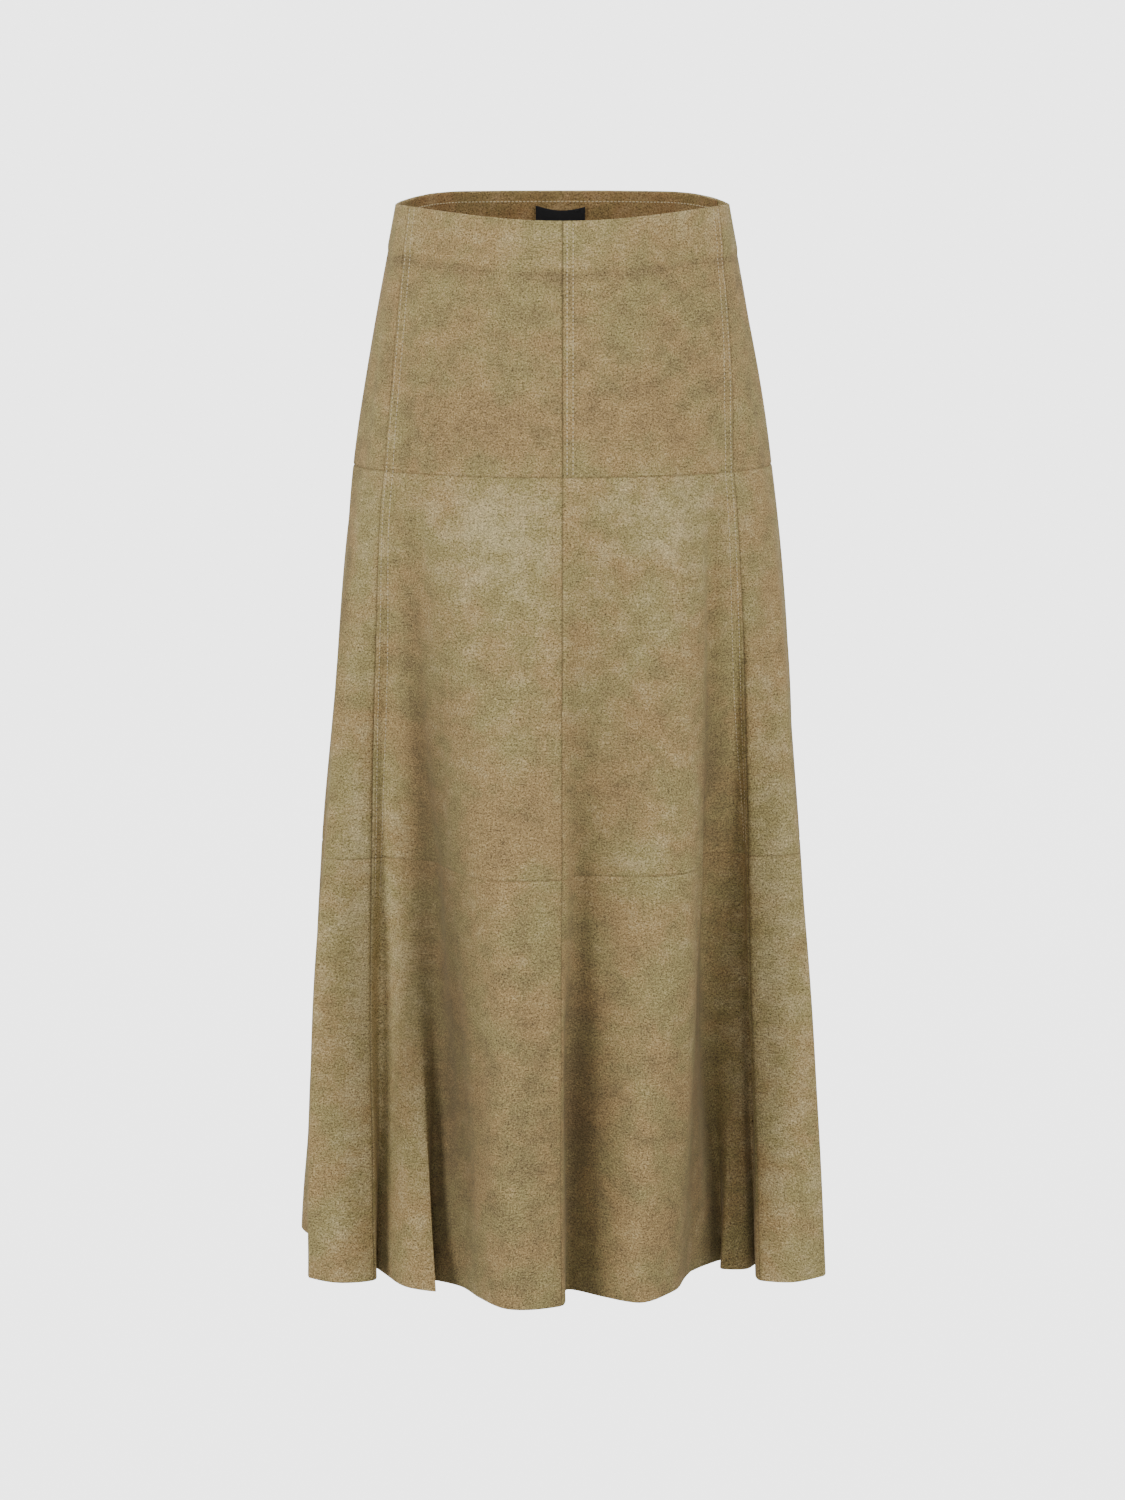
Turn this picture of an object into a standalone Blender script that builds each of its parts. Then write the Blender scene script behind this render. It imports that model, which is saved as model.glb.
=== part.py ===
"""Panelled A-line midi skirt, standing in its worn form with nobody in it.

Metres, +Z up. The front faces -Y and the wearer's left is +X. The origin is the
centre of the waist opening, at the height of the waist edge at the two sides.

The cloth is one closed curve in plan at every height. It is an oval down to the
hip seam, and below it the curve bends round the crests of FOLDS, which swing out
from the oval to their places at the hem. Position counts those crests round the
skirt from the centre front towards the wearer's left. The eight gores are cut
where a crest is a seam, and the three tiers at the hip and knee seams.
"""

import math

import bmesh
import bpy
import numpy as np
from mathutils import Matrix, Vector

OBJECT = "a_line_skirt"

# Heights, in metres.
HIP_SEAM = -0.202
KNEE_SEAM = -0.507
HEM = -0.834
FRONT_DIP = 0.010  # how far the waist edge dips at the centre front
BACK_RISE = 0.008  # and rises at the centre back

# The cloth.
CLOTH = 0.0014
SEAM_GAP = 0.0003
FACET = 0.0185  # longest step between columns along the hem
SOFT_START = 1.4  # power by which the folds come in below the hip; 1 is straight
SHARPEST = 0.6  # a wall is thinned where half its bend has a smaller cosine than this
FACING_DEPTH = 0.035
FACING_CLOTH = 0.0010
FACING_DROP = 0.0006  # the facing's top edge lies this far below the fold of the rim

# Heights of the rows of points, as shares of each tier.
UPPER_ROWS = (0.34, 0.67, 1.0)
MIDDLE_ROWS = (0.2, 0.4, 0.6, 0.8, 1.0)
LOWER_ROWS = (0.2, 0.4, 0.6, 0.8, 1.0)

SECTIONS = (
    # height, half_width, front_depth, back_depth
    (0.012, 0.1268, 0.0865, 0.0905),
    (0.000, 0.1290, 0.0880, 0.0920),
    (-0.074, 0.1430, 0.0980, 0.1070),
    (-0.144, 0.1550, 0.1070, 0.1200),
    (-0.215, 0.1660, 0.1160, 0.1310),
    (-0.311, 0.1760, 0.1210, 0.1370),
    (-0.432, 0.1855, 0.1250, 0.1420),
    (-0.530, 0.1930, 0.1275, 0.1450),
    (-0.630, 0.2000, 0.1295, 0.1480),
    (-0.730, 0.2065, 0.1310, 0.1505),
    (-0.834, 0.2130, 0.1320, 0.1520),
)

FOLDS = (
    # name, hip_angle in degrees from the front, knee_x, knee_y, hem_x, hem_y, crispness
    ("centre_front_seam", 0.0, -0.0005, -0.1500, -0.0010, -0.1840, 0.5),
    ("centre_trough", 6.0, 0.0100, -0.1335, 0.0040, -0.1430, 0.0),
    ("left_centre_rise", 14.0, 0.0340, -0.1340, 0.0300, -0.1610, 0.0),
    ("left_centre_ridge", 26.0, 0.0680, -0.1350, 0.0600, -0.1780, 0.0),
    ("left_centre_edge", 34.0, 0.0980, -0.1225, 0.0870, -0.1460, 0.1),
    ("left_centre_turn", 39.0, 0.1070, -0.0980, 0.1010, -0.0980, 0.4),
    ("left_centre_trough", 42.3, 0.1160, -0.0480, 0.1310, -0.0670, 0.0),
    ("left_small_edge", 45.4, 0.1340, -0.0435, 0.1265, -0.0920, 0.3),
    ("left_small_back", 48.2, 0.1385, -0.0430, 0.1470, -0.0920, 0.1),
    ("left_small_trough", 51.0, 0.1430, -0.0430, 0.1545, -0.0770, 0.0),
    ("left_front_seam", 54.0, 0.1468, -0.0550, 0.1550, -0.1215, 0.3),
    ("left_side_face", 62.0, 0.1640, -0.0570, 0.1800, -0.1265, 0.0),
    ("left_side_edge", 74.0, 0.1870, -0.0480, 0.2066, -0.1100, 0.3),
    ("left_side_trough", 86.0, 0.1860, -0.0140, 0.1900, -0.0400, 0.0),
    ("left_side_seam", 96.0, 0.1910, 0.0140, 0.2125, 0.0150, 0.0),
    ("left_back_roll", 104.0, 0.1860, 0.0430, 0.2060, 0.0560, 0.0),
    ("left_back_trough", 113.0, 0.1630, 0.0620, 0.1650, 0.0760, 0.0),
    ("left_back_ridge", 121.0, 0.1570, 0.0900, 0.1640, 0.1180, 0.0),
    ("left_back_seam", 128.0, 0.1390, 0.1050, 0.1410, 0.1400, 0.3),
    ("left_back_inner_trough", 137.0, 0.1130, 0.1000, 0.1010, 0.1130, 0.0),
    ("left_back_inner_edge", 147.0, 0.0940, 0.1310, 0.0820, 0.1560, 0.0),
    ("left_back_inner_ridge", 159.0, 0.0610, 0.1500, 0.0500, 0.1760, 0.0),
    ("centre_back_trough", 170.0, 0.0280, 0.1370, 0.0200, 0.1400, 0.0),
    ("centre_back_seam", 180.0, -0.0020, 0.1450, -0.0060, 0.1500, 0.3),
    ("right_back_inner_ridge", 193.0, -0.0410, 0.1570, -0.0400, 0.1800, 0.0),
    ("right_back_inner_edge", 206.0, -0.0770, 0.1440, -0.0720, 0.1660, 0.0),
    ("right_back_inner_trough", 217.0, -0.1040, 0.1070, -0.0930, 0.1190, 0.0),
    ("right_back_ridge", 225.0, -0.1220, 0.1130, -0.1130, 0.1450, 0.0),
    ("right_back_seam", 232.0, -0.1440, 0.1060, -0.1400, 0.1390, 0.3),
    ("right_back_trough", 243.0, -0.1600, 0.0660, -0.1630, 0.0900, 0.0),
    ("right_back_roll", 254.0, -0.1830, 0.0500, -0.1990, 0.0760, 0.0),
    ("right_side_seam", 264.0, -0.1925, 0.0200, -0.2137, 0.0320, 0.0),
    ("right_side_trough", 273.5, -0.1850, -0.0230, -0.1890, -0.0500, 0.0),
    ("right_side_edge", 284.0, -0.1870, -0.0660, -0.2005, -0.1150, 0.4),
    ("right_side_face", 296.0, -0.1670, -0.0710, -0.1750, -0.1270, 0.0),
    ("right_front_seam", 303.5, -0.1500, -0.0670, -0.1490, -0.1200, 0.3),
    ("right_small_trough", 306.5, -0.1420, -0.0600, -0.1490, -0.0900, 0.0),
    ("right_small_face", 309.0, -0.1310, -0.0660, -0.1180, -0.1410, 0.0),
    ("right_small_edge", 311.5, -0.1190, -0.0710, -0.0986, -0.1490, 0.3),
    ("right_centre_trough", 315.0, -0.1040, -0.0760, -0.1090, -0.1180, 0.0),
    ("right_centre_turn", 318.5, -0.0900, -0.1020, -0.0800, -0.1360, 0.0),
    ("right_centre_edge", 323.5, -0.0740, -0.1320, -0.0650, -0.1640, 0.2),
    ("right_centre_ridge", 332.0, -0.0540, -0.1510, -0.0420, -0.1920, 0.0),
    ("right_centre_face", 350.0, -0.0240, -0.1530, -0.0140, -0.1900, 0.0),
)

SEAMS = (
    # fold, waist_angle in degrees
    ("centre_front_seam", 0.0),
    ("left_front_seam", 68.0),
    ("left_side_seam", 100.0),
    ("left_back_seam", 121.0),
    ("centre_back_seam", 180.0),
    ("right_back_seam", 239.0),
    ("right_side_seam", 260.0),
    ("right_front_seam", 294.0),
)

GORES = (
    "front_centre_left",
    "front_side_left",
    "back_side_left",
    "back_centre_left",
    "back_centre_right",
    "back_side_right",
    "front_side_right",
    "front_centre_right",
)

# The care label: a folded tape, tacked inside the centre back by its top corners.
LABEL_WIDTH = 0.040
LABEL_HEIGHT = 0.020
LABEL_DROP = 0.0115  # from the rim to its top corners
LABEL_SAG = 0.0035
LABEL_THICKNESS = 0.0010
LABEL_OFF = 0.0006  # how far it hangs off the facing

# The concealed zip in the left side seam.
ZIP_SEAM = "left_side_seam"
TAPE_HALF_WIDTH = 0.012
TAPE_TOP = 0.0080  # below the rim
TAPE_LENGTH_SHARE = 0.86  # of the last row's way to the hip seam
SLIDER_DROP = 0.0050  # from the rim to the middle of the slider's bridge
NOTCH = 0.0010  # how far the zip holds each edge of the seam back at the rim
STEM_HALF_WIDTH = 0.0004
BAR_RADIUS = 0.00045
BRIDGE_INSIDE = 0.0009
BRIDGE_OUTSIDE = 0.0016
PULL_ARM = (0.0008, 0.0017)  # inner and outer side of each arm
PULL_PLATE_START = 0.0021  # from the hinge's axis
PULL_LENGTH = 0.0150
PULL_TIP_RADIUS = 0.0032
PULL_THICKNESS = 0.0008
SLIDER_BODY = (0.0060, 0.0022, 0.0100)  # wide, thick, tall

# Finishes: base colour, roughness, metallic.
SUEDE = ((0.245, 0.178, 0.105), 0.90, 0.0)
SUEDE_BACK = ((0.085, 0.070, 0.045), 0.92, 0.0)
LABEL_TAPE = ((0.012, 0.012, 0.013), 0.60, 0.0)
ZIP_TAPE = ((0.110, 0.085, 0.055), 0.85, 0.0)
LACQUERED_METAL = ((0.160, 0.120, 0.075), 0.38, 0.6)

NAMES = [name for name, *_ in FOLDS]
COUNT = len(FOLDS)
HIP_ANGLE = np.radians([angle for _, angle, *_ in FOLDS])
KNEE_PLACE = np.array([(x, y) for _, _, x, y, *_ in FOLDS])
HEM_PLACE = np.array([(x, y) for *_, x, y, _ in FOLDS])
CRISP = np.array([crisp for *_, crisp in FOLDS])
WAIST_ANGLE = np.interp(
    HIP_ANGLE,
    [HIP_ANGLE[NAMES.index(fold)] for fold, _ in SEAMS] + [2 * math.pi],
    np.radians([angle for _, angle in SEAMS] + [360.0]),
)


def section(column, height):
    """One size of the oval at a height, on a smooth curve through the rows of SECTIONS."""
    rows = np.array(SECTIONS)[::-1]
    heights, sizes = rows[:, 0], rows[:, column]
    slopes = np.gradient(sizes, heights)
    low = np.clip(np.searchsorted(heights, height) - 1, 0, len(rows) - 2)
    step = heights[low + 1] - heights[low]
    t = (height - heights[low]) / step
    return (
        sizes[low] * (1 + 2 * t) * (1 - t) ** 2
        + slopes[low] * step * t * (1 - t) ** 2
        + sizes[low + 1] * t * t * (3 - 2 * t)
        + slopes[low + 1] * step * t * t * (t - 1)
    )


def oval(angle, height):
    """Plan place on the plain oval, without folds."""
    across, along = np.sin(angle), -np.cos(angle)
    depth = np.where(along < 0, section(2, height), section(3, height))
    return np.stack([section(1, height) * across, depth * along], axis=-1)


def crest(fold, height):
    """Plan place of the crest of a fold at a height: off the oval, through knee and hem."""
    above = np.clip((height - HIP_SEAM) / -HIP_SEAM, 0, 1.1)
    below = np.clip((HIP_SEAM - height) / (HIP_SEAM - HEM), 0, 1)
    angle = HIP_ANGLE[fold] + (WAIST_ANGLE[fold] - HIP_ANGLE[fold]) * above
    knee_share = (HIP_SEAM - KNEE_SEAM) / (HIP_SEAM - HEM)
    rise = (below / knee_share) ** SOFT_START / (1 - knee_share)
    at_knee = (rise * (1 - below))[..., None]
    at_hem = (rise * knee_share**SOFT_START * (below - knee_share))[..., None]
    off_knee = KNEE_PLACE[fold] - oval(HIP_ANGLE[fold], np.full_like(height, KNEE_SEAM))
    off_hem = HEM_PLACE[fold] - oval(HIP_ANGLE[fold], np.full_like(height, HEM))
    return oval(angle, height) + off_knee * at_knee + off_hem * at_hem


def surface(position, height):
    """Points on the middle of the cloth, on a smooth curve through the crests."""
    position, height = np.broadcast_arrays(np.asarray(position, float), height)
    fold = np.floor(position).astype(int)
    t = (position - fold)[..., None]
    before, start, end, after = (
        crest((fold + step) % COUNT, height) for step in (-1, 0, 1, 2)
    )
    steps = [start - before, end - start, after - end]
    lengths = [np.linalg.norm(step, axis=-1, keepdims=True) for step in steps]
    ways = [step / length for step, length in zip(steps, lengths, strict=True)]
    tangents = []
    for side, here in ((0, fold), (1, fold + 1)):
        whole = lengths[side] + lengths[side + 1]
        smooth = (
            ways[side] * lengths[side + 1] + ways[side + 1] * lengths[side]
        ) / whole
        crisp = CRISP[here % COUNT][..., None]
        tangents.append(((1 - crisp) * smooth + crisp * ways[1]) * lengths[1])
    plan = (
        start * (1 + 2 * t) * (1 - t) ** 2
        + tangents[0] * t * (1 - t) ** 2
        + end * t * t * (3 - 2 * t)
        + tangents[1] * t * t * (t - 1)
    )
    return np.concatenate([plan, height[..., None]], axis=-1)


def rim(position):
    """Height of the waist edge."""
    fold = np.floor(position).astype(int)
    ahead = np.append(WAIST_ANGLE, 2 * math.pi)
    angle = ahead[fold] + (ahead[fold + 1] - ahead[fold]) * (position - fold)
    front = np.clip(np.cos(angle), 0, 1)
    back = np.clip(-np.cos(angle) / 0.8, 0, 1)
    return -FRONT_DIP * front**3 + BACK_RISE * back * back * (3 - 2 * back)


def columns():
    """Positions of the columns of points, closer where the hem is longer."""
    hem = np.full(COUNT, HEM)
    here, there = (crest((np.arange(COUNT) + k) % COUNT, hem) for k in (0, 1))
    lengths = np.linalg.norm(there - here, axis=1)
    counts = np.maximum(2, np.round(lengths / FACET)).astype(int)
    return np.concatenate(
        [fold + np.arange(count) / count for fold, count in enumerate(counts)]
    )


def row_heights(position):
    """Heights of the rows of points down every column, one row of the result each."""
    top = rim(position)
    foot_of_facing = top - FACING_DEPTH
    rows = [top, top - FACING_DEPTH / 2, foot_of_facing]
    for shares, low, high in (
        (UPPER_ROWS, HIP_SEAM, foot_of_facing),
        (MIDDLE_ROWS, KNEE_SEAM, np.full_like(top, HIP_SEAM)),
        (LOWER_ROWS, HEM, np.full_like(top, KNEE_SEAM)),
    ):
        rows += [high + (low - high) * share for share in shares]
    return np.array(rows)


POSITIONS = columns()
GRID = surface(POSITIONS, row_heights(POSITIONS))
TIERS = (
    # name, first row, last row
    ("upper", 0, 2 + len(UPPER_ROWS)),
    ("middle", 2 + len(UPPER_ROWS), 2 + len(UPPER_ROWS + MIDDLE_ROWS)),
    (
        "lower",
        2 + len(UPPER_ROWS + MIDDLE_ROWS),
        2 + len(UPPER_ROWS + MIDDLE_ROWS + LOWER_ROWS),
    ),
)
FACING_ROWS = 2


def wall_steps(grid):
    """Outward steps at every point, and the cosine of half the bend there.

    A step is longer at a bend, so that the wall keeps its thickness.
    """
    back, forth = np.roll(grid, 1, axis=1), np.roll(grid, -1, axis=1)
    into, out_of = grid - back, forth - grid
    into /= np.linalg.norm(into, axis=-1, keepdims=True)
    out_of /= np.linalg.norm(out_of, axis=-1, keepdims=True)
    along = into + out_of
    half_cosine = np.linalg.norm(along, axis=-1, keepdims=True) / 2
    upward = -np.gradient(grid, axis=0)
    normal = np.cross(along, upward)
    normal /= np.linalg.norm(normal, axis=-1, keepdims=True)
    return normal / np.maximum(half_cosine, SHARPEST), half_cosine[..., 0]


STEPS, BENDS = wall_steps(GRID)


def column_of(fold_name):
    """Number of the column that runs down a fold's crest."""
    return int(np.argmin(abs(POSITIONS - NAMES.index(fold_name))))


def on_facets(row, column):
    """Point and outward step at a fractional row and column of the grid."""
    row = min(max(row, 0.0), len(GRID) - 1.0)
    top, left = min(int(row), len(GRID) - 2), math.floor(column)
    down, right = row - top, column - left
    found = []
    for field in (GRID, STEPS):
        corners = [
            field[r, c % len(POSITIONS)]
            for r in (top, top + 1)
            for c in (left, left + 1)
        ]
        upper = corners[0] * (1 - right) + corners[1] * right
        lower = corners[2] * (1 - right) + corners[3] * right
        found.append(upper * (1 - down) + lower * down)
    return found


def column_beside(row, column, distance):
    """The fractional column that lies at a distance along a row from another column."""
    way = 1 if distance > 0 else -1
    left = abs(distance)
    here = column
    while True:
        start, end = on_facets(row, here)[0], on_facets(row, here + way)[0]
        step = float(np.linalg.norm(end - start))
        if step >= left:
            return here + way * left / step
        left -= step
        here += way


def add_material(piece, name, finish):
    """Gives a piece a Principled material of its own."""
    colour, roughness, metallic = finish
    material = bpy.data.materials.new(name)
    material.use_nodes = True
    shader = material.node_tree.nodes["Principled BSDF"]
    shader.inputs["Base Color"].default_value = (*colour, 1.0)
    shader.inputs["Roughness"].default_value = roughness
    shader.inputs["Metallic"].default_value = metallic
    material.diffuse_color = (*colour, 1.0)
    piece.data.materials.clear()
    piece.data.materials.append(material)


def add_piece(name, mesh, finish):
    """Puts a mesh into the object's collection as a piece with its own finish."""
    piece = bpy.data.objects.new(name, mesh)
    bpy.data.collections[OBJECT].objects.link(piece)
    add_material(piece, name, finish)
    return piece


def wall(name, middle, steps, outer, inner, finish):
    """A closed cloth wall between two skins at the distances outer and inner.

    The skins stand on the shared outward steps, so the cut edges of neighbouring
    pieces stay parallel where a seam runs along a sharp fold.
    """
    rows, across = middle.shape[:2]
    bm = bmesh.new()
    skins = [
        [[bm.verts.new(point) for point in line] for line in middle + steps * distance]
        for distance in (outer, inner)
    ]

    def add_quad(a, b, c, d):
        bm.faces.new((a, b, c))
        bm.faces.new((a, c, d))

    front, back = skins
    for r in range(rows - 1):
        for c in range(across - 1):
            add_quad(
                front[r][c], front[r + 1][c], front[r + 1][c + 1], front[r][c + 1]
            )
            add_quad(back[r][c], back[r][c + 1], back[r + 1][c + 1], back[r + 1][c])
        add_quad(front[r][0], back[r][0], back[r + 1][0], front[r + 1][0])
        add_quad(front[r + 1][-1], back[r + 1][-1], back[r][-1], front[r][-1])
    for c in range(across - 1):
        add_quad(front[0][c + 1], back[0][c + 1], back[0][c], front[0][c])
        add_quad(front[-1][c], back[-1][c], back[-1][c + 1], front[-1][c + 1])
    mesh = bpy.data.meshes.new(name)
    bm.to_mesh(mesh)
    bm.free()
    mesh.shade_smooth()
    mesh.set_sharp_from_angle(angle=math.radians(40))
    return add_piece(name, mesh, finish)


def drawn_in(points, neighbours, distances):
    """Points moved towards their neighbours, each by its distance."""
    ways = neighbours - points
    ways /= np.linalg.norm(ways, axis=-1, keepdims=True)
    return points + ways * distances[:, None]


def seam_insets(bends, seam, tier):
    """How far a panel's edge stays back from a seam, row by row, for an even gap."""
    insets = SEAM_GAP / 2 / bends
    if seam == ZIP_SEAM and tier == "upper":
        insets[0] += NOTCH
    return insets


def make_panels():
    """The twenty-four panels of the shell: eight gores in three tiers."""
    ends = [fold for fold, _ in SEAMS] + [SEAMS[0][0]]
    for tier, first, last in TIERS:
        for gore, start, end in zip(GORES, ends[:-1], ends[1:], strict=True):
            low, high = column_of(start), column_of(end)
            if high <= low:
                high += len(POSITIONS)
            across = np.arange(low, high + 1) % len(POSITIONS)
            panel = GRID[first : last + 1, across]
            bends = BENDS[first : last + 1, across]
            edges = panel.copy()
            for side, inner, seam in ((0, 1, start), (-1, -2, end)):
                insets = seam_insets(bends[:, side], seam, tier)
                edges[:, side] = drawn_in(panel[:, side], panel[:, inner], insets)
            gap = np.full(len(across), SEAM_GAP / 2)
            if tier != "upper":
                edges[0] = drawn_in(edges[0], edges[1], gap)
            if tier != "lower":
                edges[-1] = drawn_in(edges[-1], edges[-2], gap)
            steps = STEPS[first : last + 1, across]
            wall(f"{tier}_{gore}", edges, steps, CLOTH / 2, -CLOTH / 2, SUEDE)


def inner_wall(name, rows, spans, off, thickness, finish):
    """A wall inside the shell: rows of fractional grid rows, each with its columns."""
    middle, steps = [], []
    for row, across in zip(rows, spans, strict=True):
        found = [on_facets(r, c) for r, c in zip(row, across, strict=True)]
        middle.append([point for point, _ in found])
        steps.append([step for _, step in found])
    outer = -CLOTH / 2 - off
    return wall(
        name, np.array(middle), np.array(steps), outer, outer - thickness, finish
    )


def make_facings():
    """Front and back facings, which stop beside the zip tape on the left."""
    row_share = FACING_DROP / (FACING_DEPTH / FACING_ROWS)
    rows = (row_share, 1.0, float(FACING_ROWS))
    left = column_of("left_side_seam")
    right = column_of("right_side_seam")
    round_it = len(POSITIONS)
    beside_tape = TAPE_HALF_WIDTH + SEAM_GAP
    for name, low, high, low_gap, high_gap in (
        ("facing_back", left, right, beside_tape, SEAM_GAP / 2),
        ("facing_front", right, left + round_it, SEAM_GAP / 2, beside_tape),
    ):
        spans, levels = [], []
        for row in rows:
            first = column_beside(row, low, low_gap)
            last = column_beside(row, high, -high_gap)
            between = np.arange(math.floor(first) + 1, math.ceil(last))
            spans.append([first, *between, last])
            levels.append([row] * len(spans[-1]))
        shortest = min(len(span) for span in spans)
        if any(len(span) != shortest for span in spans):
            raise RuntimeError(f"{name}: its ends cross a column between two rows")
        inner_wall(name, levels, spans, SEAM_GAP, FACING_CLOTH, SUEDE_BACK)


def make_label():
    """The blank label, which sags between its two tacked corners."""
    steps = 8
    middle_column = column_of("centre_back_seam")
    row_length = FACING_DEPTH / FACING_ROWS
    rows, spans = [], []
    for down in (0.0, 0.5, 1.0):
        levels, across = [], []
        for step in range(steps + 1):
            side = 2 * step / steps - 1
            drop = LABEL_DROP + LABEL_SAG * (1 - side * side) + LABEL_HEIGHT * down
            row = drop / row_length
            levels.append(row)
            across.append(
                column_beside(row, middle_column, side * LABEL_WIDTH / 2)
                if side
                else float(middle_column)
            )
        rows.append(levels)
        spans.append(across)
    off = SEAM_GAP + FACING_CLOTH + LABEL_OFF
    inner_wall("label", rows, spans, off, LABEL_THICKNESS, LABEL_TAPE)


def make_zip_tape():
    """The closed zip's two tapes, as one band behind the side seam."""
    seam = column_of(ZIP_SEAM)
    last = TIERS[0][2]
    top = TAPE_TOP / (FACING_DEPTH / FACING_ROWS)
    levels = [top, *range(1, last), last - 1 + TAPE_LENGTH_SHARE]
    rows, spans = [], []
    for level in levels:
        shares = (-1.0, -0.5, 0.0, 0.5, 1.0)
        rows.append([level] * len(shares))
        spans.append(
            [
                column_beside(level, seam, share * TAPE_HALF_WIDTH)
                if share
                else float(seam)
                for share in shares
            ]
        )
    inner_wall("zip_tape", rows, spans, SEAM_GAP, FACING_CLOTH, ZIP_TAPE)


def zip_frame():
    """The hinge's frame: X along the waist, Z up the cloth and -Y out of it."""
    row = SLIDER_DROP / (FACING_DEPTH / FACING_ROWS)
    seam = column_of(ZIP_SEAM)
    place, out = (Vector(found) for found in on_facets(row, seam))
    up = Vector(GRID[0, seam] - GRID[1, seam]).normalized()
    out = (out - out.dot(up) * up).normalized()
    along = up.cross(out)
    height = CLOTH / 2 + BRIDGE_INSIDE
    turn = Matrix((along, -out, up)).transposed().to_4x4()
    return Matrix.Translation(place + out * height) @ turn


def flat_outline(name, outlines, half_thickness):
    """A mesh plate from closed outlines in the XY plane; the second is a hole."""
    curve = bpy.data.curves.new(name, "CURVE")
    curve.dimensions = "2D"
    curve.fill_mode = "BOTH"
    curve.extrude = half_thickness
    for outline in outlines:
        spline = curve.splines.new("POLY")
        spline.points.add(len(outline) - 1)
        for point, (x, y) in zip(spline.points, outline, strict=True):
            point.co = (x, y, 0.0, 1.0)
        spline.use_cyclic_u = True
    drawn = bpy.data.objects.new(name, curve)
    bpy.context.scene.collection.objects.link(drawn)
    bpy.context.view_layer.update()
    shape = drawn.evaluated_get(bpy.context.evaluated_depsgraph_get())
    mesh = bpy.data.meshes.new_from_object(shape)
    bpy.data.objects.remove(drawn)
    bpy.data.curves.remove(curve)
    bm = bmesh.new()
    bm.from_mesh(mesh)
    bmesh.ops.remove_doubles(bm, verts=bm.verts, dist=0.000001)
    bm.to_mesh(mesh)
    bm.free()
    return mesh


def arc(centre, radius, start, end, steps):
    """Points on an arc, in degrees."""
    return [
        (
            centre[0] + radius * math.cos(math.radians(start + (end - start) * k / steps)),
            centre[1] + radius * math.sin(math.radians(start + (end - start) * k / steps)),
        )
        for k in range(steps + 1)
    ]


def add_cutter(name, mesh):
    """An object that only serves a Boolean, hidden and in its own collection."""
    tool = bpy.data.objects.new(name, mesh)
    bpy.data.collections["shapers"].objects.link(tool)
    tool.hide_render = True
    tool.display_type = "WIRE"
    return tool


def join(piece, tool):
    """Adds a tool's shape to a piece."""
    union = piece.modifiers.new(tool.name, "BOOLEAN")
    union.operation = "UNION"
    union.object = tool


def make_zip_slider(frame):
    """The slider: a body behind the tape, a stem in the notch and a bridge outside."""
    axis_out = CLOTH / 2 + BRIDGE_INSIDE  # from the middle of the cloth to the axis
    behind_tape = axis_out + CLOTH / 2 + SEAM_GAP + FACING_CLOTH + SEAM_GAP
    wide, thick, tall = SLIDER_BODY
    overlap = thick / 2
    # The plate is drawn with X out of the cloth and Y up it, then turned into place.
    outside = arc((0, 0), BRIDGE_OUTSIDE, -90, 90, 10) + [
        (-behind_tape - overlap, BRIDGE_OUTSIDE),
        (-behind_tape - overlap, -BRIDGE_OUTSIDE),
    ]
    hole = arc((0, 0), BRIDGE_INSIDE, -90, 90, 10) + [
        (-BRIDGE_INSIDE, BRIDGE_INSIDE),
        (-BRIDGE_INSIDE, -BRIDGE_INSIDE),
    ]
    plate = flat_outline("zip_slider", (outside, hole), STEM_HALF_WIDTH)
    plate.transform(Matrix(((0, 0, 1, 0), (-1, 0, 0, 0), (0, 1, 0, 0), (0, 0, 0, 1))))
    slider = add_piece("zip_slider", plate, LACQUERED_METAL)
    slider.matrix_world = frame

    bm = bmesh.new()
    bmesh.ops.create_cube(bm, size=1.0)
    drop = tall / 2 - BRIDGE_OUTSIDE
    bmesh.ops.scale(bm, vec=(wide, thick, tall), verts=bm.verts)
    bmesh.ops.translate(bm, vec=(0, behind_tape + thick / 2, -drop), verts=bm.verts)
    bmesh.ops.bevel(
        bm,
        geom=bm.edges[:],
        offset=0.0006,
        segments=2,
        affect="EDGES",
        profile=0.5,
    )
    body = bpy.data.meshes.new("slider_body")
    bm.to_mesh(body)
    bm.free()
    tool = add_cutter("slider_body", body)
    tool.matrix_world = frame
    join(slider, tool)


def make_zip_pull(frame):
    """The teardrop pull, whose bar turns inside the slider's bridge."""
    inner, outer = PULL_ARM
    tip = PULL_LENGTH - PULL_TIP_RADIUS
    # The plate is drawn with X along the waist and Y up the cloth.
    outline = (
        [(outer, 0.0), (outer, BAR_RADIUS), (-outer, BAR_RADIUS), (-outer, 0.0)]
        + [(-outer, -PULL_PLATE_START)]
        + arc((0, -tip), PULL_TIP_RADIUS, 170, 370, 16)
        + [(outer, -PULL_PLATE_START)]
    )
    window = [
        (inner, -BAR_RADIUS),
        (inner, -PULL_PLATE_START),
        (-inner, -PULL_PLATE_START),
        (-inner, -BAR_RADIUS),
    ]
    plate = flat_outline("zip_pull", (outline, window), PULL_THICKNESS / 2)
    plate.transform(Matrix.Rotation(math.radians(90), 4, "X"))
    pull = add_piece("zip_pull", plate, LACQUERED_METAL)
    pull.matrix_world = frame


def start_afresh():
    """Removes the scene's objects and makes the two collections."""
    for old in list(bpy.data.objects):
        bpy.data.objects.remove(old, do_unlink=True)
    for name in (OBJECT, "shapers"):
        if name in bpy.data.collections:
            bpy.data.collections.remove(bpy.data.collections[name])
        bpy.context.scene.collection.children.link(bpy.data.collections.new(name))


def main():
    start_afresh()
    make_panels()
    make_facings()
    make_label()
    make_zip_tape()
    frame = zip_frame()
    make_zip_slider(frame)
    make_zip_pull(frame)
    bpy.context.view_layer.update()


main()
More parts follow.
